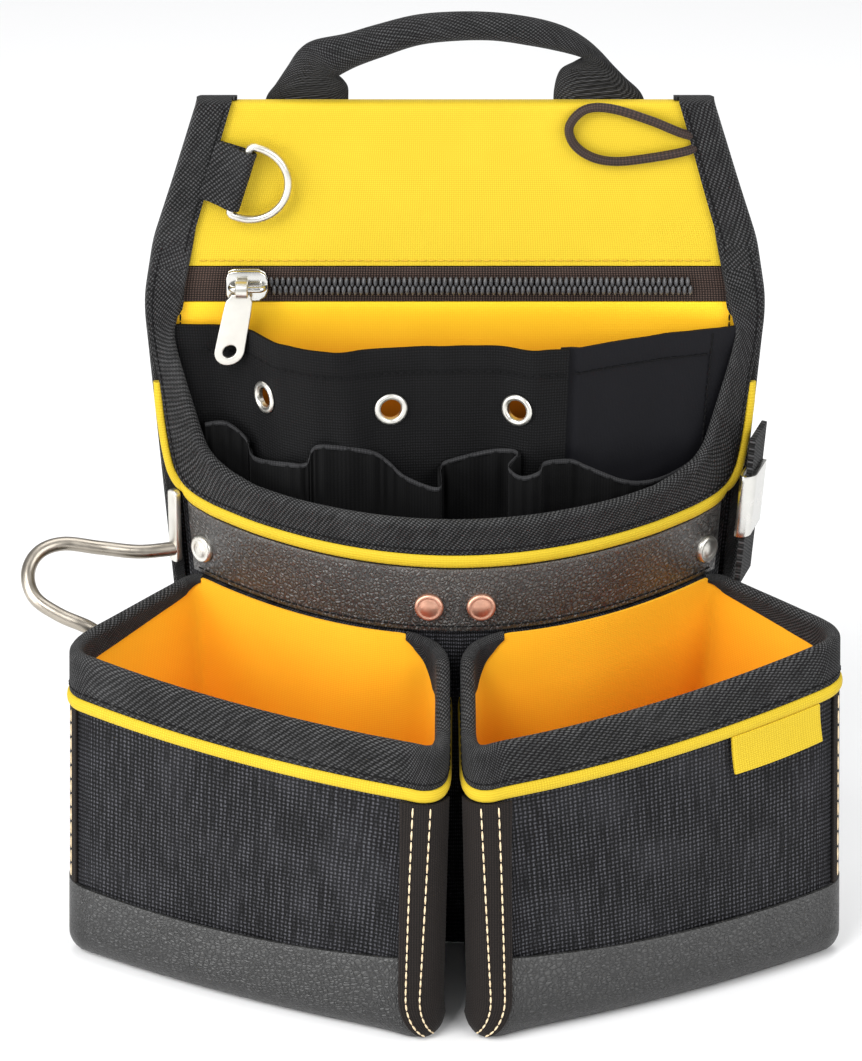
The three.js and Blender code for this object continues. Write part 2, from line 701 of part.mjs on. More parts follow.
// Rivet caps on the band
RIVETS.forEach((rivet) => {
  const rings = RIVET_PROFILE.map((row) => {
    const ring = circle(RIVET.radius * row.share, RIVET.sides);
    return ring.map((here) => point(here.x, here.y, row.up));
  });
  const place = mainFront(rivet.u, rivet.z, bandOut + GAP);
  add(rivet.name, facing(loft(rings), place, mainNormal(rivet.u, rivet.z)), rivet.look);
});

// Inner pockets: the panels lean back to the lining at their lower edge
function panelY(x, z) {
  const full = lookUp(EYELET_FOLDS, "x", x, "y");
  return mix(PANEL.low, full, smooth(between(PANEL.lowZ, PANEL.fullZ, z)));
}

function panelStations(from, to, step) {
  const count = Math.round((to - from) / step);
  const even = Array.from({ length: count + 1 }, (_, at) => mix(from, to, at / count));
  const folds = EYELET_FOLDS.map((row) => row.x).filter((x) => x > from && x < to);
  const seams = GATHERS.map((row) => row.to).filter((x) => x > from && x < to);
  const lines = [...folds, ...seams];
  const kept = even.filter((x) => lines.every((line) => Math.abs(line - x) > step * FOLD_CLEAR));
  return [...new Set([...kept, ...lines])].sort((a, b) => a - b);
}

function panelPoint(x, z, out) {
  const scale = mainHalf(z) / mainHalf(PANEL.topZ);
  return point(x * scale, panelY(x, z) - out, z);
}

const panelHeights = [PANEL.lowZ, ...PANEL_STEPS, PANEL.fullZ, PANEL.topZ];
const panelGrid = (from, to) =>
  panelStations(from, to, PANEL.step).map((x) => panelHeights.map((z) => panelPoint(x, z, THIN)));

const eyeletSpots = EYELET_PLACES.map((x) => {
  const slope = (panelY(x + 1, EYELET.z) - panelY(x - 1, EYELET.z)) / 2;
  const normal = point(slope, -1, 0).normalize();
  return { place: panelPoint(x, EYELET.z, THIN), normal };
});
const eyeletCuts = eyeletSpots.map((spot) => {
  const cutter = plate(circle(EYELET_HOLE.radius, EYELET.sides), EYELET_HOLE.deep);
  cutter.translate(0, 0, -EYELET_HOLE.deep / 2);
  return facing(cutter, spot.place, spot.normal);
});
const plainPanel = sheet(panelGrid(PANEL.left, PANEL.split - GAP), THIN);
add("eyelet_panel", cutFrom(plainPanel, eyeletCuts), "black");
add("flat_pocket", sheet(panelGrid(PANEL.split + GAP, PANEL.right), THIN), "black");

const eyeletProfile = [
  { radius: EYELET.inner, up: -THIN - EYELET_RIM.tail },
  { radius: EYELET.barrel, up: -THIN - EYELET_RIM.tail },
  { radius: EYELET.barrel, up: GAP },
  { radius: EYELET.outer, up: GAP },
  { radius: EYELET.outer * EYELET_RIM.taper, up: GAP + EYELET_RIM.flange },
  { radius: EYELET.inner, up: GAP + EYELET_RIM.flange },
];
eyeletSpots.forEach((spot, at) => {
  const rings = circle(1, EYELET.sides).map((turn) =>
    eyeletProfile.map((row) => point(row.radius * turn.x, row.radius * turn.y, row.up)));
  add(`eyelet_${at + 1}`, facing(loft(rings, true), spot.place, spot.normal), "steel");
});

function gatherAt(x) {
  const pocket = GATHERS.find((row) => x >= row.from && x <= row.to);
  return pocket.deep * Math.sin((Math.PI * (x - pocket.from)) / (pocket.to - pocket.from)) ** 2;
}

const loopGrid = panelStations(LOOPS.left, LOOPS.right, LOOPS.step).map((x) => {
  const gather = gatherAt(x);
  const top = LOOPS.topZ - LOOPS.sag * gather;
  return [LOOPS.lowZ, ...LOOP_STEPS, LOOPS.fullZ, top].map((z) => {
    const belly = gather * smooth(between(LOOPS.lowZ, LOOPS.fullZ, z));
    return panelPoint(x, z, LOOPS.out + belly);
  });
});
add("loop_pockets", sheet(loopGrid, THIN), "black");

// Plan of a nail pouch: level 0 at its base, 1 at its rim
function bend(before, corner, after, cut) {
  const start = corner.clone().add(before.clone().sub(corner).setLength(cut));
  const stop = corner.clone().add(after.clone().sub(corner).setLength(cut));
  return new THREE.QuadraticBezierCurve(start, corner, stop).getPoints(NAIL_CUP.bendSteps);
}

function side(from, to, count, bulge) {
  const along = to.clone().sub(from);
  const outward = flatPoint(along.y, -along.x).normalize();
  return Array.from({ length: count }, (_, at) => {
    const share = (at + 1) / (count + 1);
    const here = from.clone().lerp(to, share);
    return here.addScaledVector(outward, 4 * bulge * share * (1 - share));
  });
}

function nailPlan(level) {
  const z = level * NAIL.rimZ;
  const flat = (here) => flatPoint(here.x, here.y);
  const corner = (row) => flatPoint(mix(row.baseX, row.rimX, level), mix(row.baseY, row.rimY, level));
  const cutOf = (name) => mix(NAIL_CUTS[name].base, NAIL_CUTS[name].rim, level);
  const backAt = (share) => flat(mainFront(mix(NAIL.outerU, NAIL.innerU, share), z, NAIL.backGap));
  const innerBack = backAt(1);
  const outerBack = backAt(0);
  const innerFront = corner(NAIL_CORNERS.innerFront);
  const outerFront = corner(NAIL_CORNERS.outerFront);
  const innerBackBend = bend(backAt(NAIL_BACK.innerAim), innerBack, innerFront, cutOf("innerBack"));
  const innerFrontBend = bend(innerBack, innerFront, outerFront, cutOf("innerFront"));
  const outerFrontBend = bend(innerFront, outerFront, outerBack, cutOf("outerFront"));
  const outerBackBend = bend(outerFront, outerBack, backAt(NAIL_BACK.outerAim), cutOf("outerBack"));
  const last = NAIL_CUP.bendSteps;
  const back = Array.from({ length: NAIL_SIDES.back }, (_, at) => {
    const share = at / (NAIL_SIDES.back - 1);
    return backAt(mix(NAIL_BACK.from, NAIL_BACK.to, share));
  });
  const bulge = mix(NAIL_BULGE.base, NAIL_BULGE.rim, level);
  return [
    ...innerBackBend,
    ...side(innerBackBend[last], innerFrontBend[0], NAIL_SIDES.inner, 0),
    ...innerFrontBend,
    ...side(innerFrontBend[last], outerFrontBend[0], NAIL_SIDES.front, bulge),
    ...outerFrontBend,
    ...side(outerFrontBend[last], outerBackBend[0], NAIL_SIDES.outer, 0),
    ...outerBackBend,
    ...back,
  ];
}

function nailInset(plan, inset) {
  return plan.map((here, at) => {
    const before = plan[(at + plan.length - 1) % plan.length];
    const after = plan[(at + 1) % plan.length];
    const along = after.clone().sub(before).normalize();
    return flatPoint(here.x - along.y * inset, here.y + along.x * inset);
  });
}

function nailRing(z, inset) {
  return nailInset(nailPlan(z / NAIL.rimZ), inset).map((here) => point(here.x, here.y, z));
}

const nailRimAt = (at) => lookUp(NAIL_RIM, "at", at, "z");

function nailTopRing(inset) {
  const plan = nailInset(nailPlan(1), inset);
  return plan.map((here, at) => point(here.x, here.y, nailRimAt(at) - NAIL_CUP.topDrop));
}

// A cup with rounded bottom edges: skin is the inset of its outer face
function nailCup(skin, thick) {
  const round = NAIL_CUP.bottomRound;
  const turns = [Math.PI / 2, Math.PI / 4, 0];
  const curved = (inset) => turns.map((turn) => {
    const reach = round - inset;
    return nailRing(round - reach * Math.sin(turn), round - reach * Math.cos(turn));
  });
  const outer = curved(skin);
  const inner = curved(skin + thick).reverse();
  return loft([...outer, nailTopRing(skin), nailTopRing(skin + thick), ...inner]);
}

// A point on the nail pouch by place along the loop, height and distance outward
function nailPoint(at, z, out) {
  const plan = nailInset(nailPlan(Math.min(z / NAIL.rimZ, 1)), -out);
  const low = Math.floor(at);
  const here = plan[low].clone().lerp(plan[(low + 1) % plan.length], at - low);
  return point(here.x, here.y, z);
}

function places(from, to) {
  const whole = [];
  for (let at = Math.floor(from) + 1; at < to; at += 1) {
    whole.push(at);
  }
  return [from, ...whole, to];
}

const nailIn = -(CLOTH + GAP + THIN + GAP + TAPE);
const nailBindingGrid = places(TRIM.binding.from, TRIM.binding.to).map((at) => {
  const rim = nailRimAt(at);
  return [
    nailPoint(at, rim - NAIL_LEG, legOut),
    nailPoint(at, rim - TAPE, legOut),
    nailPoint(at, rim, -(CLOTH + GAP + THIN) / 2),
    nailPoint(at, rim - TAPE, nailIn),
    nailPoint(at, rim - NAIL_LEG, nailIn),
  ];
});
const nailPipe = places(TRIM.binding.from, TRIM.binding.to).map((at) => {
  const low = nailRimAt(at) - NAIL_LEG - GAP - PIPE.tall;
  return pipeSection.map((corner) => nailPoint(at, low + corner.up, GAP + corner.out));
});

// The guard follows the rounded bottom edge of the shell
const guardGrid = places(TRIM.guard.from, TRIM.guard.to).map((at) => {
  const reach = NAIL_CUP.bottomRound + legOut;
  const curved = TRIM.guardTurns.map((turn) => {
    const z = NAIL_CUP.bottomRound - reach * Math.sin(turn);
    return nailPoint(at, z, reach * Math.cos(turn) - NAIL_CUP.bottomRound);
  });
  return [...curved, nailPoint(at, TRIM.guardTop, legOut)];
});

function seamTape(range, low) {
  const out = GAP + THIN;
  return places(range.from, range.to).map((at) => {
    const top = nailRimAt(at) - NAIL_LEG - PIPE.tall - 2 * GAP;
    return [low, top].map((z) => nailPoint(at, z, out));
  });
}

const innerTape = seamTape(TRIM.innerTape, NAIL_CUP.bottomRound);
const outerTape = seamTape(TRIM.outerTape, TRIM.guardTop + GAP);
const nailPieces = [
  { name: "nail_shell", geometry: nailCup(0, CLOTH), look: "black" },
  { name: "nail_lining", geometry: nailCup(CLOTH + GAP, THIN), look: "orange" },
  { name: "nail_rim_binding", geometry: sheet(nailBindingGrid, TAPE), look: "black" },
  { name: "nail_piping", geometry: loft(nailPipe), look: "yellow" },
  { name: "base_guard", geometry: sheet(guardGrid, TAPE), look: "vinyl" },
  { name: "inner_seam_tape", geometry: sheet(innerTape, THIN), look: "black" },
  { name: "outer_seam_tape", geometry: sheet(outerTape, THIN), look: "black" },
];
nailPieces.forEach((piece) => {
  add(`${piece.name}_right`, piece.geometry, piece.look);
  add(`${piece.name}_left`, mirrored(piece.geometry), piece.look);
});

const tagGrid = places(TRIM.tag.from, TRIM.tag.to).map((at) =>
  [TRIM.tag.low, TRIM.tag.top].map((z) => nailPoint(at, z, 2 * GAP + THIN)));
add("label_tag", sheet(tagGrid, THIN), "yellow");

// Carry handle: flat ends behind the back panel, rolled grip between them
const handleRight = HANDLE_HALF.map((row) => ({ ...row, x: -row.x })).reverse();
const handleRows = [...HANDLE_HALF, HANDLE_TOP, ...handleRight];
const handleRings = handleRows.map((row, at) => {
  const before = handleRows[Math.max(at - 1, 0)];
  const after = handleRows[Math.min(at + 1, handleRows.length - 1)];
  const along = flatPoint(after.x - before.x, after.z - before.z).normalize();
  return circle(0.5, HANDLE_SIDES).map((turn) => {
    const wide = row.wide * turn.x;
    return point(row.x - along.y * wide, HANDLE_Y + row.deep * turn.y, row.z + along.x * wide);
  });
});
add("handle", loft(handleRings), "black");

// D-ring frame: origin at the binding's inner edge, first axis along the tab, second along the bar
const [slantLow, slantHigh] = OUTLINE.slice(-2);
const slant = Math.atan((slantLow.half - slantHigh.half) / (slantHigh.z - slantLow.z));
const tabStart = point(-(outlineHalf(TAB.z) - BINDING.backLeg - GAP), 0, TAB.z);
const tabAlong = point(Math.cos(slant), 0, -Math.sin(slant));
const tabAcross = point(Math.sin(slant), 0, Math.cos(slant));
const tabBack = upperFront - GAP;
const ringY = tabBack - TAB_EYE.outer;

const tabShape = [flatPoint(0, tabBack), flatPoint(TAB.long, tabBack)];
for (let step = 1; step < TAB.arcSteps; step += 1) {
  const turn = Math.PI / 2 - (Math.PI * step) / TAB.arcSteps;
  tabShape.push(flatPoint(TAB.long + TAB_EYE.outer * Math.cos(turn), ringY + TAB_EYE.outer * Math.sin(turn)));
}
tabShape.push(flatPoint(TAB.long, ringY - TAB_EYE.outer));
tabShape.push(flatPoint(TAB.long - TAB_EYE.outer, tabBack - TAB.thick - TAB.swell));
tabShape.push(flatPoint(0, tabBack - TAB.thick));
const tabEye = circle(TAB_EYE.inner, TAB_EYE.sides).map((here) => flatPoint(here.x + TAB.long, here.y + ringY));
const tab = plate(tabShape, TAB.wide, [tabEye]);
const tabFrame = new THREE.Matrix4().makeBasis(tabAlong, point(0, 1, 0), tabAcross);
tabFrame.setPosition(tabStart.clone().addScaledVector(tabAcross, -TAB.wide / 2));
tab.applyMatrix4(tabFrame);
add("d_ring_tab", tab, "black");

const ringLine = [];
const barReach = RING.half - RING.corner;
RING_BAR_SHARES.forEach((share) => ringLine.push(flatPoint(0, share * barReach)));
const cornerTurn = Math.SQRT1_2 * RING.corner;
ringLine.push(flatPoint(RING.corner - cornerTurn, barReach + cornerTurn));
ringLine.push(flatPoint(RING.straight, RING.half));
for (let step = 1; step < RING.arcSteps; step += 1) {
  const turn = Math.PI / 2 - (Math.PI * step) / RING.arcSteps;
  ringLine.push(flatPoint(RING.straight + RING.half * Math.cos(turn), RING.half * Math.sin(turn)));
}
ringLine.push(flatPoint(RING.straight, -RING.half));
ringLine.push(flatPoint(RING.corner - cornerTurn, -barReach - cornerTurn));
const barMiddle = tabStart.clone().addScaledVector(tabAlong, TAB.long).setY(ringY);
const ringRings = ringLine.map((here, at) => {
  const before = ringLine[(at + ringLine.length - 1) % ringLine.length];
  const after = ringLine[(at + 1) % ringLine.length];
  const along = after.clone().sub(before).normalize();
  return circle(RING.wire, RING.sides).map((turn) => {
    const place = barMiddle.clone();
    place.addScaledVector(tabAlong, here.x - along.y * turn.x);
    place.addScaledVector(tabAcross, here.y + along.x * turn.x);
    return place.setY(ringY + turn.y);
  });
});
add("d_ring", loft(ringRings, true), "steel");

// Elastic loop
const elasticCurve = new THREE.CatmullRomCurve3(ELASTIC_ROUTE.map((row) => point(row.x, ELASTIC.y, row.z)));
const elasticShape = new THREE.Shape(circle(ELASTIC.radius, ELASTIC.sides));
const elastic = new THREE.ExtrudeGeometry(elasticShape, { steps: ELASTIC.steps, extrudePath: elasticCurve });
add("elastic_loop", elastic, "black");

// Hammer holder: strip, wire and foot are one piece of metal
function barCorners(middle, across, normal, thick) {
  const near = [middle.clone().sub(across), middle.clone().add(across)];
  const far = near.map((here) => here.clone().addScaledVector(normal, thick));
  return [near[0], near[1], far[1], far[0]];
}

const stripNormal = mainNormal(HAMMER_STRIP.u, HAMMER_STRIP.joinZ);
const stripTangent = point(-stripNormal.y, stripNormal.x, 0);
const stripRings = [HAMMER_STRIP.lowZ, HAMMER_STRIP.highZ].map((z) => {
  const middle = mainFront(HAMMER_STRIP.u, z, HAMMER_STRIP.out);
  const across = stripTangent.clone().multiplyScalar(HAMMER_STRIP.wide / 2);
  return barCorners(middle, across, stripNormal, HAMMER_STRIP.thick);
});

const footNear = mirroredPoint(nailPoint(HAMMER_FOOT.at, HAMMER_FOOT.z, GAP));
const footSurface = mirroredPoint(nailPoint(HAMMER_FOOT.at, HAMMER_FOOT.z, 0));
const footNormal = footNear.clone().sub(footSurface).normalize();
const footTangent = point(-footNormal.y, footNormal.x, 0);
const footRings = [-1, 1].map((end) => {
  const z = HAMMER_FOOT.z + (end * HAMMER_FOOT.tall) / 2;
  const middle = mirroredPoint(nailPoint(HAMMER_FOOT.at, z, GAP));
  const across = footTangent.clone().multiplyScalar(HAMMER_FOOT.wide / 2);
  return barCorners(middle, across, footNormal, HAMMER_FOOT.thick);
});

const joinOut = HAMMER_STRIP.out + HAMMER_STRIP.thick / 2;
const stripJoin = mainFront(HAMMER_STRIP.u, HAMMER_STRIP.joinZ, joinOut);
const hammerRoute = [
  stripJoin,
  ...HAMMER_ROUTE.map((row) => point(row.x, row.y, row.z)),
  ...HAMMER_END.map((row) => {
    const here = footNear.clone().addScaledVector(footNormal, row.out);
    return here.add(point(0, 0, row.up));
  }),
];
const hammerCurve = new THREE.CatmullRomCurve3(hammerRoute);
const hammerShape = new THREE.Shape(circle(HAMMER.wire, HAMMER.sides));
const hammerWire = new THREE.ExtrudeGeometry(hammerShape, { steps: HAMMER.steps, extrudePath: hammerCurve });
add("hammer_holder", joinAll([loft(stripRings), loft(footRings), hammerWire]), "steel");

// Tape clip: both pieces lean with the sewn edge of the panel
const edgeSlope = (OUTLINE[1].half - OUTLINE[0].half) / OUTLINE[1].z;
const edgeLean = new THREE.Matrix4().set(
  1, 0, edgeSlope, OUTLINE[0].half,
  0, 1, 0, 0,
  0, 0, 1, 0,
  0, 0, 0, 1,
);
const strapIn = BINDING.fold + GAP;
const strapOut = strapIn + STRAP.thick;
const strap = box(point(strapIn, STRAP.frontY, STRAP.lowZ), point(strapOut, STRAP.backY, STRAP.highZ));
add("clip_strap", strap.applyMatrix4(edgeLean), "black");

const legNear = strapIn - GAP - CLIP.thick;
const legFar = strapOut + GAP + CLIP.thick;
const clipOutline = [
  flatPoint(legNear, CLIP.backY),
  flatPoint(legNear, CLIP.frontY + CLIP.thick),
  flatPoint(legNear + CLIP.thick, CLIP.frontY),
  flatPoint(legFar - CLIP.thick, CLIP.frontY),
  flatPoint(legFar, CLIP.frontY + CLIP.thick),
  flatPoint(legFar, CLIP.backY),
  flatPoint(legFar - CLIP.thick, CLIP.backY),
  flatPoint(legFar - CLIP.thick, CLIP.frontY + CLIP.thick),
  flatPoint(legNear + CLIP.thick, CLIP.frontY + CLIP.thick),
  flatPoint(legNear + CLIP.thick, CLIP.backY),
];
const clip = plate(clipOutline, CLIP.highZ - CLIP.lowZ);
clip.translate(0, 0, CLIP.lowZ);
add("tape_clip", clip.applyMatrix4(edgeLean), "steel");

export default group;
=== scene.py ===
# Tool pouch: cloth, tapes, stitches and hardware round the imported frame, sizes in millimetres
import bpy
import numpy as np
from functools import lru_cache
from math import asin, atan, copysign, cos, hypot, pi, radians, sin, sqrt
from mathutils import Matrix, Vector, noise


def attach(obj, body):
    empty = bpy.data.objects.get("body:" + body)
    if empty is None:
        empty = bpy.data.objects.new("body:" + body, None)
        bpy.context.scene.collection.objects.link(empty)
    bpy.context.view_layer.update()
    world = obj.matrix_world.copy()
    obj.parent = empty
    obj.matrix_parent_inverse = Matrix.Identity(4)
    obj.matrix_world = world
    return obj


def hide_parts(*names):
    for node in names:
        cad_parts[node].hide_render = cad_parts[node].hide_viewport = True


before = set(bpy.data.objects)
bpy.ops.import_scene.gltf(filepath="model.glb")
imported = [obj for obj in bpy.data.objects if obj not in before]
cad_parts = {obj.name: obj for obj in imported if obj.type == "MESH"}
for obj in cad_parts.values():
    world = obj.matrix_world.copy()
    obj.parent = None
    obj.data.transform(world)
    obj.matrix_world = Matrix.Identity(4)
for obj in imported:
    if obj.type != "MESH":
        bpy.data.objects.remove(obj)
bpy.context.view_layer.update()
mm = 0.001
# Where a folded tape starts and stops bending, and the bend itself, as shares of its width
foldStart = 0.38
foldEnd = 0.62
foldShare = 0.24
print("frame loaded")


# Small sums
def mix(a, b, share):
    return a + (b - a) * share


def smooth(share):
    held = min(max(share, 0.0), 1.0)
    return held * held * (3 - 2 * held)


def ripple(x, y, z, size):
    return noise.noise(Vector((x, y, z)) / size)  # soft unevenness of cloth, about -1 to 1


def onSide(point, sign):
    return Vector((sign * point.x, point.y, point.z))


def flipped(place):
    return lambda across, up: onSide(place(1 - across, up), -1)


def curveSum(a, b, c, d, t):
    bend = (2 * a - 5 * b + 4 * c - d) * t * t + (3 * b - a - 3 * c + d) * t ** 3
    return 0.5 * (2 * b + (c - a) * t + bend)


def curveThrough(points, share):
    # a smooth line through given points, share from 0 to 1
    last = len(points) - 1
    place = min(max(share, 0.0), 1.0) * last
    low = min(int(place), last - 1)
    t = place - low
    a, b = points[max(low - 1, 0)], points[low]
    c, d = points[low + 1], points[min(low + 2, last)]
    return curveSum(a, b, c, d, t)


def alongLine(points, share):
    # a straight-sided line walked by its length
    steps = [(after - before).length for before, after in zip(points, points[1:])]
    left = share * sum(steps)
    for before, after, step in zip(points, points[1:], steps):
        if left <= step:
            return before.lerp(after, left / step)
        left -= step
    return points[-1].copy()


# Mesh tools
def deselectAll():
    if bpy.context.object and bpy.context.object.mode != "OBJECT":
        bpy.ops.object.mode_set(mode="OBJECT")
    bpy.ops.object.select_all(action="DESELECT")


def pickOnly(piece):
    deselectAll()
    bpy.context.view_layer.objects.active = piece
    piece.select_set(True)


def startEdit(piece):
    pickOnly(piece)
    bpy.ops.object.mode_set(mode="EDIT")
    bpy.ops.mesh.select_mode(type="VERT")
    bpy.ops.mesh.select_all(action="SELECT")


def turnOutward():
    bpy.ops.mesh.select_all(action="SELECT")
    bpy.ops.mesh.normals_make_consistent(inside=False)
    bpy.ops.object.mode_set(mode="OBJECT")


def closeAndTurn():
    # open ends are filled, faces look outwards
    bpy.ops.mesh.select_all(action="DESELECT")
    bpy.ops.mesh.select_non_manifold()
    bpy.ops.mesh.fill_holes(sides=0)
    turnOutward()


def setDown(piece, frameMatrix):
    piece.matrix_world = frameMatrix
    bpy.ops.object.transform_apply(location=True, rotation=True, scale=True)


def beadPiece(segments, rings, size):
    # a small egg-shaped piece to copy, half sizes in millimetres
    deselectAll()
    bpy.ops.mesh.primitive_uv_sphere_add(segments=segments, ring_count=rings, radius=1)
    piece = bpy.context.object
    piece.scale = [part * mm for part in size]
    bpy.ops.object.transform_apply(location=True, rotation=True, scale=True)
    return piece


def applyModifier(piece, kind, settings):
    pickOnly(piece)
    bpy.ops.object.modifier_add(type=kind)
    modifier = piece.modifiers[-1]
    for name, value in settings.items():
        setattr(modifier, name, value)
    bpy.ops.object.modifier_apply(modifier=modifier.name)


def gridPiece(name, grid, place, size, paintedHighlight=None):
    # a flat grid whose points are carried onto a surface; its UV map is the cut cloth in millimetres
    deselectAll()
    bpy.ops.mesh.primitive_grid_add(x_subdivisions=grid[0], y_subdivisions=grid[1], size=1)
    piece = bpy.context.object
    piece.name = name
    piece.data.name = name
    shares = [(point.co.x + 0.5, point.co.y + 0.5) for point in piece.data.vertices]
    for point, (across, up) in zip(piece.data.vertices, shares):
        point.co = place(across, up) * mm
    for corner in piece.data.uv_layers.active.data:
        corner.uv = (corner.uv[0] * size[0], corner.uv[1] * size[1])
    # optional painted highlight per point, read by the cloth and vinyl materials
    if paintedHighlight:
        highlightLayer = piece.data.attributes.new("paintedHighlight", "FLOAT", "POINT")
        highlightLayer.data.foreach_set("value", [paintedHighlight(*share) for share in shares])
    return piece


def clothPiece(name, grid, place, size, thick, paintedHighlight=None, edge=0.0):
    piece = gridPiece(name, grid, place, size, paintedHighlight)
    applyModifier(piece, "SOLIDIFY", {"thickness": thick * mm, "offset": -1.0})
    if edge:
        softEdge(piece, edge)
    return piece


def softEdge(piece, edge):
    settings = {"width": edge * mm, "segments": 2, "limit_method": "ANGLE", "angle_limit": radians(55)}
    applyModifier(piece, "BEVEL", settings)


def cupPiece(name, grid, place, size, thick):
    # a grid closed into a ring, with a floor, then given its thickness
    piece = gridPiece(name, grid, place, size)
    startEdit(piece)
    bpy.ops.mesh.remove_doubles(threshold=0.02 * mm)
    bpy.ops.mesh.select_all(action="DESELECT")
    bpy.ops.mesh.select_non_manifold()
    bpy.ops.object.mode_set(mode="OBJECT")
    low = min(point.co.z for point in piece.data.vertices) + 0.01 * mm
    foot = [point.index for point in piece.data.vertices if point.select and point.co.z < low]
    startEdit(piece)
    bpy.ops.mesh.select_all(action="DESELECT")
    bpy.ops.object.mode_set(mode="OBJECT")
    for index in foot:
        piece.data.vertices[index].select = True
    bpy.ops.object.mode_set(mode="EDIT")
    bpy.ops.mesh.edge_face_add()
    turnOutward()
    floorFace = max(piece.data.polygons, key=lambda face: len(face.vertices))
    if floorFace.normal.z > 0:  # an open cup can come out turned inside out
        startEdit(piece)
        bpy.ops.mesh.flip_normals()
        bpy.ops.object.mode_set(mode="OBJECT")
    applyModifier(piece, "SOLIDIFY", {"thickness": thick * mm, "offset": -1.0})
    for point in piece.data.vertices:
        point.co.z = max(point.co.z, low - 0.01 * mm)  # corners that folded under the floor
    return piece


def tubePiece(name, grid, place, size, paintedHighlight=None):
    # a grid rolled into a tube; open ends are filled
    piece = gridPiece(name, grid, place, size, paintedHighlight)
    startEdit(piece)
    bpy.ops.mesh.remove_doubles(threshold=0.005 * mm)
    closeAndTurn()
    return piece


def wirePlace(line, radius, closed=False):
    # place on a round wire that follows the points of a line
    count = len(line)
    frames = []
    side = Vector((0, 1, 0))
    for at in range(count):
        before = line[(at - 1) % count] if closed else line[max(at - 1, 0)]
        after = line[(at + 1) % count] if closed else line[min(at + 1, count - 1)]
        along = (after - before).normalized()
        side = (side - along * side.dot(along)).normalized()
        frames.append((side.copy(), along.cross(side)))

    def place(across, up):
        at = round(up * (count if closed else count - 1)) % count
        turn = 2 * pi * across
        return line[at] + (frames[at][0] * cos(turn) + frames[at][1] * sin(turn)) * radius
    return place


def turnedPiece(name, rows, sides, frameMatrix, closed=False):
    # a ring drawn out and resized row by row, then set on its place
    deselectAll()
    bpy.ops.mesh.primitive_circle_add(vertices=sides, radius=rows[0][0] * mm, location=(0, 0, 0))
    piece = bpy.context.object
    piece.name = name
    piece.data.name = name
    startEdit(piece)
    bpy.ops.transform.translate(value=(0, 0, rows[0][1] * mm))
    for before, after in zip(rows, rows[1:]):
        rise = (after[1] - before[1]) * mm
        bpy.ops.mesh.extrude_region_move(TRANSFORM_OT_translate={"value": (0, 0, rise)})
        grow = after[0] / before[0]
        bpy.ops.transform.resize(value=(grow, grow, 1), center_override=(0, 0, 0))
    if not closed:
        bpy.ops.mesh.edge_face_add()
    bpy.ops.mesh.select_all(action="SELECT")
    bpy.ops.mesh.remove_doubles(threshold=0.002 * mm)
    closeAndTurn()
    setDown(piece, frameMatrix)
    return piece


def stampedPiece(name, outlines, thick, bevel, frameMatrix):
    # a plate cut from outlines with rounded edges, drawn flat as a curve
    deselectAll()
    drawn = bpy.data.curves.new(name, "CURVE")
    drawn.dimensions = "2D"
    drawn.fill_mode = "BOTH"
    drawn.extrude = (thick / 2 - bevel) * mm
    drawn.bevel_depth = bevel * mm
    drawn.bevel_resolution = 2
    for outline in outlines:
        line = drawn.splines.new("POLY")
        line.points.add(len(outline) - 1)
        for point, (x, y) in zip(line.points, outline):
            point.co = (x * mm, y * mm, 0, 1)
        line.use_cyclic_u = True
    piece = bpy.data.objects.new(name, drawn)
    bpy.context.scene.collection.objects.link(piece)
    piece.select_set(True)
    bpy.context.view_layer.objects.active = piece
    bpy.ops.object.convert(target="MESH")
    piece = bpy.context.object
    startEdit(piece)
    bpy.ops.mesh.remove_doubles(threshold=0.005 * mm)
    turnOutward()
    setDown(piece, frameMatrix)
    return piece


def joinPieces(name, pieces):
    deselectAll()
    for piece in pieces:
        piece.select_set(True)
    bpy.context.view_layer.objects.active = pieces[0]
    bpy.ops.object.join()
    pieces[0].name = name
    pieces[0].data.name = name
    return pieces[0]


def copiesOf(name, model, frames):
    # one mesh of many copies of a modelled piece, which is then removed
    base = np.array([point.co for point in model.data.vertices])
    faces = [list(face.vertices) for face in model.data.polygons]
    points = []
    polygons = []
    for at, place in enumerate(frames):
        turned = np.array(place)
        points.append(base @ turned[:3, :3].T + turned[:3, 3])
        polygons += [[corner + at * len(base) for corner in face] for face in faces]
    mesh = bpy.data.meshes.new(name)
    mesh.from_pydata(np.concatenate(points).tolist(), [], polygons)
    bpy.data.objects.remove(model)
    piece = bpy.data.objects.new(name, mesh)
    bpy.context.scene.collection.objects.link(piece)
    return piece


def finishPiece(piece, material, slot, nodes=(), body="pouch", angle=45):
    pickOnly(piece)
    bpy.ops.object.shade_smooth_by_angle(angle=radians(angle))
    piece.data.materials.clear()
    piece.data.materials.append(material)
    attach(piece, body)
    if nodes:
        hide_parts(*nodes)
    return piece


def facing(place, normal, along=Vector((0, 0, 1))):
    # frame in metres at a place: local Z looks along the normal
    out = normal.normalized()
    right = along.cross(out).normalized()
    up = out.cross(right)
    turned = Matrix((right, up, out)).transposed().to_4x4()
    turned.translation = place * mm
    return turned


# Materials
def linearColour(hexText):
    channels = [int(hexText[at:at + 2], 16) / 255 for at in (1, 3, 5)]
    linear = [c / 12.92 if c <= 0.04045 else ((c + 0.055) / 1.055) ** 2.4 for c in channels]
    return (*linear, 1.0)


def addNode(tree, kind, settings, inputs):
    node = tree.nodes.new("ShaderNode" + kind)
    for name, value in settings.items():
        setattr(node, name, value)
    for name, value in inputs.items():
        if isinstance(value, bpy.types.NodeSocket):
            tree.links.new(value, node.inputs[name])
        else:
            node.inputs[name].default_value = value
    return node


def startMaterial(name, sockets):
    material = bpy.data.materials.new(name)
    material.use_nodes = True
    tree = material.node_tree
    shader = tree.nodes["Principled BSDF"]
    for socket, value in sockets.items():
        shader.inputs[socket].default_value = value
    return material, tree, shader


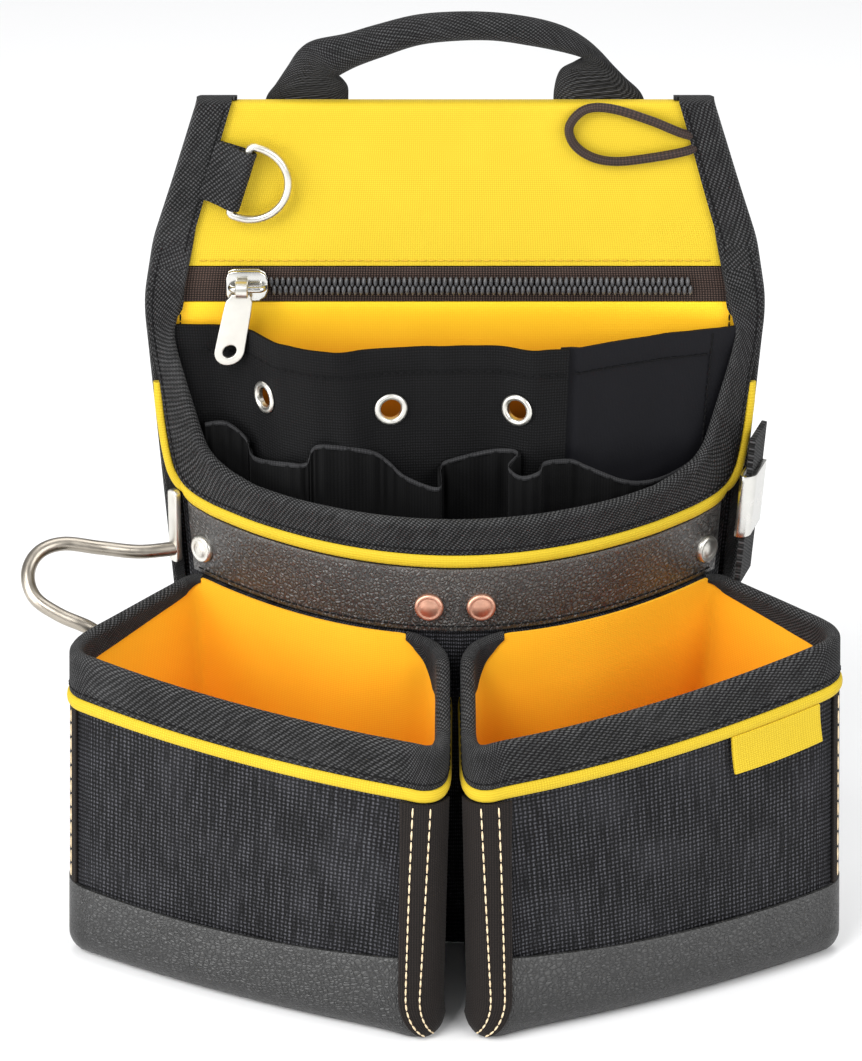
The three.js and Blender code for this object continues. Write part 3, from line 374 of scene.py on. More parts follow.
def paintedShadeByHeight(tree, place, colour, deep):
    # painted shade: colour multiplied by a darker tint that sets in between two heights in millimetres,
    # full at the lower one
    parts = addNode(tree, "SeparateXYZ", {}, {"Vector": place.outputs["Object"]})
    share = addNode(tree, "MapRange", {},
                    {0: parts.outputs["Z"], 1: deep["high"] * mm, 2: deep["low"] * mm})
    made = addNode(tree, "Mix", {"data_type": "RGBA", "blend_type": "MULTIPLY"},
                   {0: share.outputs[0], 6: colour, 7: linearColour(deep["shadeTint"])})
    return made.outputs[2]


def coverShader(tree, shader, look, place, shades, relief):
    # the common end of cloth and vinyl: two shades, painted highlight on folds and top edges, painted shade
    # lower down, relief
    lit, highlightShare = shades
    height, deepMm = relief
    low = linearColour(look["low"])
    high = linearColour(look["high"])
    colour = addNode(tree, "Mix", {"data_type": "RGBA"}, {0: lit, 6: low, 7: high})
    highlightColour = linearColour(look["highlightColour"])
    final = addNode(tree, "Mix", {"data_type": "RGBA"}, {0: highlightShare, 6: colour.outputs[2], 7: highlightColour})
    # a look's "deep" entry is painted shade, darker towards the bottom
    shown = paintedShadeByHeight(tree, place, final.outputs[2], look["deep"]) if "deep" in look else final.outputs[2]
    tree.links.new(shown, shader.inputs["Base Color"])
    bump = addNode(tree, "Bump", {}, {"Strength": look["bump"], "Distance": deepMm * mm,
                                      "Height": height})
    tree.links.new(bump.outputs[0], shader.inputs["Normal"])


def wovenCloth(name, look):
    # threads over and under each other, from the piece's UV map in millimetres
    sockets = {"Roughness": look["roughness"], "Sheen Weight": look["sheen"], "Sheen Roughness": 0.4}
    sockets["Specular IOR Level"] = look["gloss"]
    material, tree, shader = startMaterial(name, sockets)
    place = addNode(tree, "TexCoord", {}, {})
    laid = addNode(tree, "Mapping", {}, {"Vector": place.outputs["UV"]})
    laid.inputs["Rotation"].default_value = (0, 0, radians(look.get("slant", 0)))
    cut = laid.outputs[0]
    wide, tall = look["threadMm"]
    uneven = {"Vector": cut, "Distortion": look["uneven"], "Detail": 1.0, "Detail Scale": 0.6}
    warp = addNode(tree, "TexWave", {"bands_direction": "X"}, {**uneven, "Scale": pi / 10 / wide})
    weft = addNode(tree, "TexWave", {"bands_direction": "Y"}, {**uneven, "Scale": pi / 10 / tall})
    cells = addNode(tree, "Mapping", {}, {"Vector": cut, "Scale": (1 / wide, 1 / tall, 1)})
    over = addNode(tree, "TexChecker", {}, {"Vector": cells.outputs[0], "Scale": 1.0})
    bendX = addNode(tree, "Math", {"operation": "MULTIPLY_ADD"}, {0: warp.outputs["Fac"], 1: 0.5, 2: 0.5})
    bendY = addNode(tree, "Math", {"operation": "MULTIPLY_ADD"}, {0: weft.outputs["Fac"], 1: 0.5, 2: 0.5})
    highX = addNode(tree, "Math", {"operation": "MULTIPLY"},
                    {0: warp.outputs["Fac"], 1: bendY.outputs[0]})
    highY = addNode(tree, "Math", {"operation": "MULTIPLY"},
                    {0: weft.outputs["Fac"], 1: bendX.outputs[0]})
    relief = addNode(tree, "Mix", {}, {0: over.outputs["Fac"], 2: highX.outputs[0], 3: highY.outputs[0]})
    patch = addNode(tree, "TexNoise", {},
                    {"Vector": place.outputs["Object"], "Scale": 45.0, "Detail": 3.0})
    shade = addNode(tree, "Math", {"operation": "MULTIPLY_ADD", "use_clamp": True},
                    {0: patch.outputs["Fac"], 1: 0.5, 2: -0.25})
    tops = addNode(tree, "Math", {"operation": "POWER"}, {0: relief.outputs[0], 1: look["tops"]})
    runs = addNode(tree, "Mapping", {}, {"Vector": cut, "Scale": (1.1 / wide, 0.12 / tall, 1)})
    spun = addNode(tree, "TexNoise", {}, {"Vector": runs.outputs[0], "Scale": 1.0, "Detail": 2.0})
    thread = addNode(tree, "MapRange", {}, {0: spun.outputs["Fac"], 1: 0.3, 2: 0.7})
    thread.inputs[3].default_value = 1 - look.get("streak", 0)
    thread.inputs[4].default_value = 1 + look.get("streak", 0)
    mixed = addNode(tree, "Math", {"operation": "MULTIPLY"}, {0: tops.outputs[0], 1: thread.outputs[0]})
    lit = addNode(tree, "Math", {"operation": "ADD", "use_clamp": True},
                  {0: mixed.outputs[0], 1: shade.outputs[0]})
    paintedHighlight = addNode(tree, "Attribute", {"attribute_name": "paintedHighlight"}, {})
    highlightShare = addNode(tree, "Math", {"operation": "MULTIPLY"}, {0: paintedHighlight.outputs["Fac"], 1: lit.outputs[0]})
    shades = (lit.outputs[0], highlightShare.outputs[0])
    coverShader(tree, shader, look, place, shades, (relief.outputs[0], look["reliefMm"]))
    return material


def grainedVinyl(name, look):
    # pressed grain: small closed cells with fine creases between them
    sockets = {"Roughness": look["roughness"], "Specular IOR Level": 0.6, "Coat Weight": look["coat"]}
    sockets["Coat Roughness"] = 0.3
    material, tree, shader = startMaterial(name, sockets)
    place = addNode(tree, "TexCoord", {}, {})
    cut = place.outputs["UV"]
    drift = addNode(tree, "TexNoise", {}, {"Vector": cut, "Scale": 0.4, "Detail": 2.0})
    bent = addNode(tree, "Mix", {"data_type": "VECTOR"}, {0: 0.12, 4: cut, 5: drift.outputs["Color"]})
    cells = addNode(tree, "TexVoronoi", {"feature": "DISTANCE_TO_EDGE"},
                    {"Vector": bent.outputs[1], "Scale": 1 / look["grainMm"]})
    crease = addNode(tree, "MapRange", {}, {0: cells.outputs["Distance"], 1: 0.0, 2: 0.3})
    patch = addNode(tree, "TexNoise", {},
                    {"Vector": place.outputs["Object"], "Scale": 30.0, "Detail": 4.0})
    lit = addNode(tree, "Math", {"operation": "MULTIPLY"},
                  {0: crease.outputs[0], 1: patch.outputs["Fac"]})
    paintedHighlight = addNode(tree, "Attribute", {"attribute_name": "paintedHighlight"}, {})
    shades = (lit.outputs[0], paintedHighlight.outputs["Fac"])
    coverShader(tree, shader, look, place, shades, (crease.outputs[0], 0.3))
    return material


def rubbedMetal(name, look):
    # plated or bare metal with a little handling haze
    material, tree, shader = startMaterial(name, {"Metallic": 1.0})
    place = addNode(tree, "TexCoord", {}, {})
    spots = place.outputs["Object"]
    haze = addNode(tree, "TexNoise", {}, {"Vector": spots, "Scale": 180.0, "Detail": 4.0})
    rough = addNode(tree, "MapRange", {}, {0: haze.outputs["Fac"], 1: 0.3, 2: 0.7})
    rough.inputs[3].default_value = look["roughness"][0]
    rough.inputs[4].default_value = look["roughness"][1]
    tree.links.new(rough.outputs[0], shader.inputs["Roughness"])
    low = linearColour(look["low"])
    high = linearColour(look["high"])
    colour = addNode(tree, "Mix", {"data_type": "RGBA"}, {0: haze.outputs["Fac"], 6: low, 7: high})
    tree.links.new(colour.outputs[2], shader.inputs["Base Color"])
    marks = addNode(tree, "TexNoise", {}, {"Vector": spots, "Scale": 900.0, "Detail": 2.0})
    bump = addNode(tree, "Bump", {}, {"Strength": 0.08, "Distance": 0.1 * mm,
                                      "Height": marks.outputs["Fac"]})
    tree.links.new(bump.outputs[0], shader.inputs["Normal"])
    return material


def spunThread(name, look):
    # sewing thread and moulded zip teeth: one colour with a fine uneven shade
    sockets = {"Roughness": look["roughness"], "Specular IOR Level": look["gloss"]}
    material, tree, shader = startMaterial(name, sockets)
    place = addNode(tree, "TexCoord", {}, {})
    fibre = addNode(tree, "TexNoise", {},
                    {"Vector": place.outputs["Object"], "Scale": 900.0, "Detail": 2.0})
    low = linearColour(look["low"])
    high = linearColour(look["high"])
    colour = addNode(tree, "Mix", {"data_type": "RGBA"}, {0: fibre.outputs["Fac"], 6: low, 7: high})
    tree.links.new(colour.outputs[2], shader.inputs["Base Color"])
    return material


# Ballistic nylon: heavy threads drawn 1 to 1.5 mm wide so that the weave shows, pale only on their tops
ballisticNylon = wovenCloth("ballisticNylon",
                            {"threadMm": (1.0, 1.5), "uneven": 1.6, "tops": 2.3, "streak": 0.75,
                             "low": "#040405", "high": "#4f4f54", "highlightColour": "#6a6a6a", "roughness": 0.66,
                             "sheen": 0.02, "gloss": 0.16, "bump": 0.9, "reliefMm": 0.3})
# Inner panel nylon: the same cloth, painted darker for the shade inside the pouch, with a darker highlight
# colour
shadedInnerNylon = wovenCloth("shadedInnerNylon", {
    "threadMm": (1.0, 1.0), "uneven": 0.8, "tops": 1.5, "low": "#030303", "high": "#1c1c1e",
    "highlightColour": "#2c2c2e", "roughness": 0.7, "sheen": 0.02, "gloss": 0.14, "bump": 0.6, "reliefMm": 0.2})
# Gathered pocket cloth: limp, painted nearly black for the shade deep in the pouch
shadedLimpNylon = wovenCloth("shadedLimpNylon", {
    "threadMm": (0.6, 0.6), "uneven": 0.5, "tops": 1.0, "low": "#030303", "high": "#121213",
    "highlightColour": "#202020", "roughness": 0.75, "sheen": 0.03, "gloss": 0.12, "bump": 0.4, "reliefMm": 0.12})
# Plain pocket nylon: finer, nearly smooth, slightly blue
pocketNylon = wovenCloth("pocketNylon", {
    "threadMm": (0.5, 0.5), "uneven": 0.5, "tops": 1.0, "low": "#0a0a0e", "high": "#121217",
    "highlightColour": "#2c2c2f", "roughness": 0.65, "sheen": 0.03, "gloss": 0.16, "bump": 0.35, "reliefMm": 0.12})
# Zip tape: coarse brownish black web
zipWeb = wovenCloth("zipWeb", {
    "threadMm": (0.9, 0.8), "uneven": 0.8, "tops": 1.5, "low": "#0a0503", "high": "#5c4a42",
    "highlightColour": "#6a5850", "roughness": 0.75, "sheen": 0.06, "gloss": 0.2, "bump": 0.6, "reliefMm": 0.2})
# Binding tape: strong slanting ribs, dull
bindingTape = wovenCloth("bindingTape",
                         {"threadMm": (1.3, 1.0), "uneven": 1.2, "tops": 1.8, "streak": 0.5, "slant": 32,
                          "low": "#040404", "high": "#4e4e4f", "highlightColour": "#606060", "roughness": 0.75,
                          "sheen": 0.04, "gloss": 0.18, "bump": 0.9, "reliefMm": 0.28})
# Seam tape: fine black twill, slightly brown
seamTape = wovenCloth("seamTape", {
    "threadMm": (0.7, 0.7), "uneven": 0.7, "tops": 1.5, "low": "#060302", "high": "#2c2420",
    "highlightColour": "#40362f", "roughness": 0.75, "sheen": 0.05, "gloss": 0.22, "bump": 0.6, "reliefMm": 0.18})
# Yellow polyester canvas: fine plain weave, golden
yellowCanvas = wovenCloth("yellowCanvas", {
    "threadMm": (0.7, 0.7), "uneven": 0.7, "tops": 1.0, "low": "#bfa014", "high": "#dabf2e",
    "highlightColour": "#e4cc4c", "roughness": 0.7, "sheen": 0.06, "gloss": 0.3, "bump": 0.45, "reliefMm": 0.14})
# Orange lining nylon: light, thin and slightly shiny, with painted shade darker towards the bottom of the
# nail pouch
orangeLining = wovenCloth("orangeLining", {
    "threadMm": (0.6, 0.6), "uneven": 0.5, "tops": 1.0, "low": "#f8a814", "high": "#ffc428",
    "highlightColour": "#ffc848", "roughness": 0.6, "sheen": 0.06, "gloss": 0.3, "bump": 0.4, "reliefMm": 0.12,
    "deep": {"high": 110, "low": 62, "shadeTint": "#f4d0b4"}})
# Back lining: the same cloth where it is stretched flat, painted paler as a lit copy of the orange lining,
# and deeper orange towards its lower edge for painted shade
backLiningLitAndShaded = wovenCloth("backLiningLitAndShaded", {
    "threadMm": (0.6, 0.6), "uneven": 0.5, "tops": 1.0, "low": "#f6bc16", "high": "#ffd428",
    "highlightColour": "#ffdc48", "roughness": 0.6, "sheen": 0.06, "gloss": 0.3, "bump": 0.4, "reliefMm": 0.12,
    "deep": {"high": 212, "low": 184, "shadeTint": "#f4a890"}})
# Pressed vinyl guard: fine dark grey grain, satin, with painted shade darker towards the bottom
guardVinyl = grainedVinyl("guardVinyl",
                          {"grainMm": 1.25, "low": "#0e0e0e", "high": "#535352", "highlightColour": "#424241",
                           "roughness": 0.42, "coat": 0.15, "bump": 1.0,
                           "deep": {"high": 26, "low": 3, "shadeTint": "#565656"}})
# Band vinyl: the same grain, browner and glossier
bandVinyl = grainedVinyl("bandVinyl", {"grainMm": 1.3, "low": "#141210", "high": "#565049",
                                       "highlightColour": "#5a534d", "roughness": 0.38, "coat": 0.6, "bump": 1.0})
# Nickel-plated steel: bright and smooth
nickelSteel = rubbedMetal("nickelSteel", {"low": "#b9b8b4", "high": "#e2e1dc", "roughness": (0.16, 0.3)})
# Drawn steel wire: duller and warmer
drawnWire = rubbedMetal("drawnWire", {"low": "#8f887d", "high": "#b8b0a4", "roughness": (0.25, 0.42)})
# Satin steel of the rivets, eyelets, ring and zip pull
satinSteel = rubbedMetal("satinSteel", {"low": "#cbc8c0", "high": "#e9e7e0", "roughness": (0.3, 0.44)})
# Copper rivets: pale and brushed
rivetCopper = rubbedMetal("rivetCopper", {"low": "#d79a7e", "high": "#f0c4ad", "roughness": (0.38, 0.52)})
# Sewing threads
tanThread = spunThread("tanThread", {"low": "#d0b080", "high": "#f8e8c8", "roughness": 0.6, "gloss": 0.5})
darkThread = spunThread("darkThread", {"low": "#060606", "high": "#1a1a1b", "roughness": 0.8,
                                       "gloss": 0.12})
yellowThread = spunThread("yellowThread",
                          {"low": "#a88200", "high": "#d4ac1c", "roughness": 0.6, "gloss": 0.5})
# Zip coil: moulded black nylon, glossy tips
zipNylon = spunThread("zipNylon", {"low": "#202021", "high": "#6c6c6e", "roughness": 0.26, "gloss": 0.5})
# Elastic cord: braided cover, dark brown
elasticBraid = wovenCloth("elasticBraid", {
    "threadMm": (0.9, 0.9), "uneven": 0.3, "tops": 1.0, "low": "#140a06", "high": "#46332b",
    "highlightColour": "#4c3c36", "roughness": 0.6, "sheen": 0.1, "gloss": 0.35, "bump": 0.6, "reliefMm": 0.2})
print("materials made")

# Camera and lights
cameraSetup = {"place": (-0.00787, -1.2191, 0.6982), "tilt": 65, "lens": 134.5}
bpy.ops.object.camera_add(location=cameraSetup["place"], rotation=(radians(cameraSetup["tilt"]), 0, 0))
camera = bpy.context.object
camera.data.lens = cameraSetup["lens"]
camera.data.sensor_width = 36
bpy.context.scene.camera = camera
# plain studio colours, as in a product picture
bpy.context.scene.view_settings.view_transform = "Standard"

lightSetup = [
    {"name": "keyLight", "place": (-1.0, -1.3, 1.7), "size": 1.1, "watts": 36},
    {"name": "fillLight", "place": (1.3, -1.2, 1.1), "size": 1.3, "watts": 23},
    {"name": "topLight", "place": (0.1, 0.5, 1.9), "size": 1.2, "watts": 15},
    {"name": "sideLight", "place": (-1.5, -0.8, 0.5), "size": 0.9, "watts": 16},
]
for row in lightSetup:
    bpy.ops.object.light_add(type="AREA", location=row["place"])
    light = bpy.context.object
    light.name = row["name"]
    light.data.energy = row["watts"]
    light.data.size = row["size"]
    aim = Vector((0, -0.05, 0.13)) - Vector(row["place"])
    light.rotation_euler = aim.to_track_quat("-Z", "Y").to_euler()
world = bpy.data.worlds.new("studio")
bpy.context.scene.world = world
world.use_nodes = True
world.node_tree.nodes["Background"].inputs["Color"].default_value = linearColour("#f4f5f7")
world.node_tree.nodes["Background"].inputs["Strength"].default_value = 0.42

deselectAll()
bpy.ops.mesh.primitive_plane_add(size=8, location=(0, 0, -0.0004))
floor = bpy.context.object
floor.name = "floor"
floorPaint, floorTree, floorShader = startMaterial("paleFloor", {"Roughness": 0.9})
floorShader.inputs["Base Color"].default_value = linearColour("#f6f6f6")
floor.data.materials.append(floorPaint)
print("camera, lights and floor set")

# Form of the back and of the main pouch
edgeForm = {"z": [0, 209, 217, 236, 256, 285], "half": [86.5, 101, 100.8, 97.5, 90.8, 81.5]}
mainForm = {"baseHalf": 83, "topHalf": 97.5, "topZ": 209, "depth": 52, "backY": -3.2}
rimForm = {"u": [0, 0.58, 0.71, 0.8, 0.86, 0.895, 0.912, 0.928, 0.944, 0.955, 0.965, 0.985],
           "z": [159, 159, 159.5, 161.6, 164.5, 168.5, 175, 182, 192, 199, 204, 206]}
seamForm = {"u": [0, 0.7, 0.86, 0.93, 0.965, 0.985], "z": [147.3, 147.5, 148, 149, 151, 158]}


def edgeHalf(z):
    return float(np.mean(np.interp([z - 3, z - 1, z + 1, z + 3], edgeForm["z"], edgeForm["half"])))


def mainHalf(z):
    return mix(mainForm["baseHalf"], mainForm["topHalf"], z / mainForm["topZ"])


def mainSpot(u, z, out):
    half = mainHalf(z)
    slope = 2 * mainForm["depth"] * u / half
    length = hypot(slope, 1)
    y = mainForm["backY"] - mainForm["depth"] * (1 - u * u)
    return Vector((half * u + out * slope / length, y - out / length, z))


def mainNormal(u, z):
    return (mainSpot(u, z, 1) - mainSpot(u, z, 0)).normalized()


def edgeCurve(form, u):
    near = [abs(u) + step for step in (-0.012, -0.004, 0.004, 0.012)]
    return float(np.mean(np.interp(near, form["u"], form["z"])))


def rimAt(u):
    return edgeCurve(rimForm, u)


def seamAt(u):
    return edgeCurve(seamForm, u)


stitchRows = {"tan": [], "dark": [], "yellow": []}


def sewRow(thread, count, spot):
    # spot gives place and outward normal along the row
    stitchRows[thread].append([spot(at / count) for at in range(count + 1)])


# Back panel and belt tunnel
backSize = {"top": 281.4, "thick": 3.0, "inset": 0.6}


def backPlace(across, up):
    z = up * backSize["top"]
    return Vector(((2 * across - 1) * (edgeHalf(z) - backSize["inset"]), -backSize["thick"] / 2, z))


finishPiece(clothPiece("backPanel", (60, 80), backPlace, (200, 283), backSize["thick"], edge=0.5),
            ballisticNylon, "black_cloth", ["back_panel"])

tunnel = {"half": 62, "low": 162, "high": 246, "seat": 3.8, "rise": 7.6, "bend": 10, "thick": 2.0}


def tunnelPlace(across, up):
    z = mix(tunnel["low"], tunnel["high"], up)
    x = mix(tunnel["half"], -tunnel["half"], across)
    lift = smooth((z - tunnel["low"] - 2) / tunnel["bend"])
    lift *= smooth((tunnel["high"] - 2 - z) / tunnel["bend"])
    return Vector((x, tunnel["seat"] + tunnel["rise"] * lift, z))


finishPiece(clothPiece("beltTunnel", (48, 60), tunnelPlace, (124, 88), tunnel["thick"], edge=0.5),
            bindingTape, "black_webbing", ["belt_tunnel"])
for z in (163.2, 244.8):
    sewRow("dark", 60, lambda t, z=z: (Vector((mix(-59, 59, t), tunnel["seat"], z)), Vector((0, 1, 0))))

# Upper yellow panel, folded over the top edge
upper = {"inset": 2.2, "thick": 1.5}
upperLine = [Vector((y, z, 0)) for y, z in (
    (-3.3, 227), (-3.3, 280.6), (-3.1, 281.8), (-2.5, 282.6), (-1.5, 283), (1.5, 283))]


def upperPlace(across, up):
    here = alongLine(upperLine, up)
    x = (2 * across - 1) * (edgeHalf(here.y) - upper["inset"])
    loose = 0.3 * ripple(x, here.y, 0, 26) * sin(pi * min(up * 1.15, 1))
    return Vector((x, here.x - abs(loose), here.y))


finishPiece(clothPiece("upperPanel", (80, 60), upperPlace, (180, 62), upper["thick"], edge=0.3),
            yellowCanvas, "yellow_cloth", ["upper_panel"])
sewRow("yellow", 56, lambda t: (Vector((mix(-84, 84, t), -3.4, 229)), Vector((0, -1, 0))))

# Side bindings: folded tape round the sewn edge
sideTape = {"leg": 11.5, "lowLeg": 3, "front": -4.8, "lowFront": -3, "back": 3, "fold": 1.5, "thick": 1.2}
sideEnds = {"low": 0.4, "top": 283.9, "taper": 1.6, "seamIn": 1.7}


def bindingLeg(z):
    # the front leg is narrow behind the pouch and tapers a little towards its top
    full = mix(sideTape["lowLeg"], sideTape["leg"], smooth((z - 200) / 14))
    return full - sideEnds["taper"] * smooth((z - 225) / 60)


def bindingPlace(across, up):
    here = bindingSpot(across, mix(sideEnds["low"], sideEnds["top"], min(up / 0.97, 1)))
    cap = max(0.0, (up - 0.97) / 0.03)  # the top end is turned in over the panel
    return Vector((here.x, mix(here.y, -0.9, cap), here.z + 0.7 * sin(pi / 2 * cap)))


def bindingSpot(across, z):
    share = smooth((z - 200) / 14)
    leg = bindingLeg(z)
    front = mix(sideTape["lowFront"], sideTape["front"], share)
    half = edgeHalf(z)
    back = sideTape["back"]
    if across < foldStart:
        return Vector((half - leg * (1 - across / foldStart), front, z))
    if across > foldEnd:
        return Vector((half - sideTape["leg"] * (across - foldEnd) / foldStart, back, z))
    turn = pi * ((across - foldStart) / foldShare - 0.5)
    middle = (front + back) / 2
    return Vector((half + sideTape["fold"] * cos(turn), middle + (back - front) / 2 * sin(turn), z))


# painted highlight along the fold of a tape
def foldHighlight(across, up):
    return 0.7 * max(0.0, 1 - abs(across - 0.5) / 0.16)


for side, place in (("right", bindingPlace), ("left", flipped(bindingPlace))):
    finishPiece(clothPiece(f"sideBinding_{side}", (30, 160), place, (30, 290), sideTape["thick"],
                           foldHighlight, 0.3), bindingTape, "black_webbing", [f"side_binding_{side}"])
    sign = 1 if side == "right" else -1

    def frontSeam(t, sign=sign):
        z = mix(214, 282, t)
        x = edgeHalf(z) - bindingLeg(z) + sideEnds["seamIn"]
        return Vector((sign * x, sideTape["front"], z)), Vector((0, -1, 0))

    def backSeam(t, sign=sign):
        z = mix(4, 282, t)
        return Vector((sign * (edgeHalf(z) - 9.8), sideTape["back"], z)), Vector((0, 1, 0))
    sewRow("dark", 30, frontSeam)
    sewRow("dark", 90, backSeam)
print("back, upper panel and side bindings made")

# Zip: tape, two rows of coil, slider and pull
zipper = {"z": 220.4, "low": 214.5, "high": 226.7, "front": -3.0, "left": -61.3, "right": 77.6,
          "pitch": 1.9}


def zipTapePlace(across, up):
    z = mix(zipper["low"], zipper["high"], up)
    return Vector(((2 * across - 1) * (edgeHalf(z) - 2.2), zipper["front"], z))


finishPiece(clothPiece("zipTape", (80, 10), zipTapePlace, (196, 12), 1.2, edge=0.2), zipWeb,
            "black_webbing", ["zip_tape"])

tooth = beadPiece(8, 6, (0.72, 1.15, 1.75))
toothCount = int((zipper["right"] - zipper["left"]) / zipper["pitch"])
toothFrames = []
for at in range(toothCount):
    x = zipper["left"] + (at + 0.5) * zipper["pitch"]
    for lift, shift in ((1.45, 0), (-1.45, zipper["pitch"] / 2)):
        toothFrames.append(Matrix.Translation(Vector((x + shift, -4.2, zipper["z"] + lift)) * mm))
finishPiece(copiesOf("zipTeeth", tooth, toothFrames), zipNylon, "zip_teeth", ["zip_teeth"])

sliderOutline = [(-6, -4.4), (-4.5, -4.9), (3.5, -4.9), (5.4, -3.6), (6.2, -1.6), (6.2, 1.6), (5.4, 3.6),
                 (3.5, 4.6), (-4.5, 4.6), (-6, 4.1), (-6.6, 2.6), (-6.6, -2.9)]
sliderSize = {"left": -74, "right": -62, "z": 221.4}
sliderMiddle = Vector(((sliderSize["left"] + sliderSize["right"]) / 2, 0, sliderSize["z"]))
upright = Matrix.Rotation(radians(90), 4, "X")


def standingAt(x, y, z):
    return Matrix.Translation(Vector((x, y, z)) * mm) @ upright


lowPlate = stampedPiece("lowPlate", [sliderOutline], 1.3, 0.4,
                        standingAt(sliderMiddle.x, -4.0, sliderMiddle.z))
topPlate = stampedPiece("topPlate", [sliderOutline], 1.3, 0.45,
                        standingAt(sliderMiddle.x, -6.4, sliderMiddle.z))
bridgeLine = [Vector((x, y, sliderMiddle.z)) for x, y in (
    (-73.2, -6.6), (-73.4, -8.6), (-72.6, -9.9), (-71.2, -10.2), (-68, -10.2),
    (-64.8, -10.2), (-63.4, -9.9), (-62.6, -8.6), (-62.8, -6.6))]
bridgeLine = [curveThrough(bridgeLine, at / 32) for at in range(33)]
bridge = tubePiece("bridge", (12, 32), wirePlace(bridgeLine, 1.05), (6, 20))
finishPiece(joinPieces("zipSlider", [lowPlate, topPlate, bridge]), nickelSteel, "steel", ["zip_slider"])

pull = {"x": -69.9, "y": -10.2, "z": 221.4, "half": 4.6, "long": 26.2, "hole": 2.6, "thick": 1.6,
        "lean": 0.2}
pullEnd = pull["long"] - pull["half"]
pullOutline = [(2.6, -2.0), (-2.6, -2.0), (-4.0, -4.2), (-4.3, -9.0)]
pullOutline += [(pull["half"] * cos(pi + pi * at / 16),
                 -pullEnd + pull["half"] * sin(pi + pi * at / 16)) for at in range(17)]
pullOutline += [(4.3, -9.0), (4.0, -4.2)]
pullHole = [(pull["hole"] * cos(2 * pi * at / 24),
             -pullEnd + pull["hole"] * sin(2 * pi * at / 24)) for at in range(24)]
lean = pull["lean"]
pullOutline = [(x + lean * y, y) for x, y in pullOutline]
pullHole = [(x + lean * y, y) for x, y in pullHole]
pullPlate = stampedPiece("pullPlate", [pullOutline, pullHole], pull["thick"], 0.35,
                         standingAt(pull["x"], pull["y"], pull["z"]))
eyeRows = [(1.85, -2.0), (2.5, -2.1), (2.9, -1.8), (2.9, 1.8), (2.5, 2.1), (1.85, 2.0), (1.85, -2.0)]
pullEye = turnedPiece("pullEye", eyeRows, 24, facing(
    Vector((pull["x"], pull["y"], pull["z"])), Vector((1, 0, 0))), closed=True)
finishPiece(joinPieces("zipPull", [pullPlate, pullEye]), satinSteel, "steel", ["zip_pull"], "zip_pull")
print("zip made")

# Orange lining behind the pockets
liningSize = {"low": 8, "high": 214.2, "inset": 5, "front": -3.0}


def liningPlace(across, up):
    z = mix(liningSize["low"], liningSize["high"], up)
    x = (2 * across - 1) * (mainHalf(z) - liningSize["inset"])
    return Vector((x, liningSize["front"] - 0.4 * abs(ripple(x, z, 5, 18)) * smooth((214 - z) / 6), z))


finishPiece(clothPiece("backLining", (70, 70), liningPlace, (184, 206), 1.2, edge=0.2), backLiningLitAndShaded,
            "orange_lining", ["back_lining"])
for sign in (-1, 1):
    sewRow("dark", 9, lambda t, sign=sign: (Vector((sign * 90.6, -3.1, mix(188, 213, t))),
                                            Vector((0, -1, 0))))

# Inner pockets: eyelet panel, flat pocket and gathered row
foldForm = {"x": [-93, -79, -68, -65.5, -61.5, -56, -48.9, -36, -28.5, -11, 13, 17.5, 24, 37, 54.4, 73.4,
                  91, 93],
            "y": [-3.6, -3.7, -8, -10, -19, -21.5, -26.5, -29.3, -25.4, -23, -22, -23, -27.5, -25.4, -18,
                  -10.2, -6, -4.4]}
panel = {"top": 207, "full": 135, "low": 72, "left": -93, "split": 37.5, "right": 93, "lowY": -4.6,
         "thick": 1.0}


def foldY(x):
    return float(np.mean(np.interp([x - 3.5, x - 1.2, x + 1.2, x + 3.5], foldForm["x"], foldForm["y"])))


def panelSpot(x, z, out):
    share = smooth((z - panel["low"]) / (panel["full"] - panel["low"]))
    y = mix(panel["lowY"], foldY(x), share)
    crumple = 0.7 * ripple(x, z * 0.35, 2, 9) * share
    return Vector((x * mainHalf(z) / mainHalf(panel["top"]), y - out - crumple, z))


def hemStep(z):
    return 0.5 * smooth((z - 197.5) / 1.2)  # the turned hem is one layer thicker


def panelPlace(left, right, tuck=0):
    # the tuck slides one edge behind the piece beside it
    def place(across, up):
        x = mix(left, right, across)
        z = mix(panel["low"], panel["top"], up)
        behind = tuck * smooth((panel["split"] + 4 - x) / 4)
        return panelSpot(x, z, panel["thick"] + hemStep(z) - behind)
    return place


eyelets = {"z": 185.5, "x": [-63.5, -21.3, 20.7]}
eyeletPanel = gridPiece("eyeletPanel", (130, 90), panelPlace(panel["left"], panel["split"] - 0.3),
                        (147, 135))
startEdit(eyeletPanel)
bpy.ops.mesh.select_mode(type="FACE")
bpy.ops.mesh.select_all(action="DESELECT")
bpy.ops.object.mode_set(mode="OBJECT")
eyeletSpots = []
for x in eyelets["x"]:
    slope = (foldY(x + 1) - foldY(x - 1)) / 2
    eyeletSpots.append((panelSpot(x, eyelets["z"], panel["thick"]), Vector((slope, -1, 0)).normalized()))
for face in eyeletPanel.data.polygons:
    face.select = any((face.center - spot * mm).length < 4.3 * mm for spot, normal in eyeletSpots)
bpy.ops.object.mode_set(mode="EDIT")
bpy.ops.mesh.delete(type="FACE")
bpy.ops.object.mode_set(mode="OBJECT")
applyModifier(eyeletPanel, "SOLIDIFY", {"thickness": panel["thick"] * mm, "offset": -1.0})
finishPiece(eyeletPanel, shadedInnerNylon, "black_cloth", ["eyelet_panel"])
flatPlace = panelPlace(panel["split"] - 3, panel["right"], 1.5)
finishPiece(clothPiece("flatPocket", (60, 60), flatPlace, (58, 135), 1.0), pocketNylon, "black_cloth",
            ["flat_pocket"])

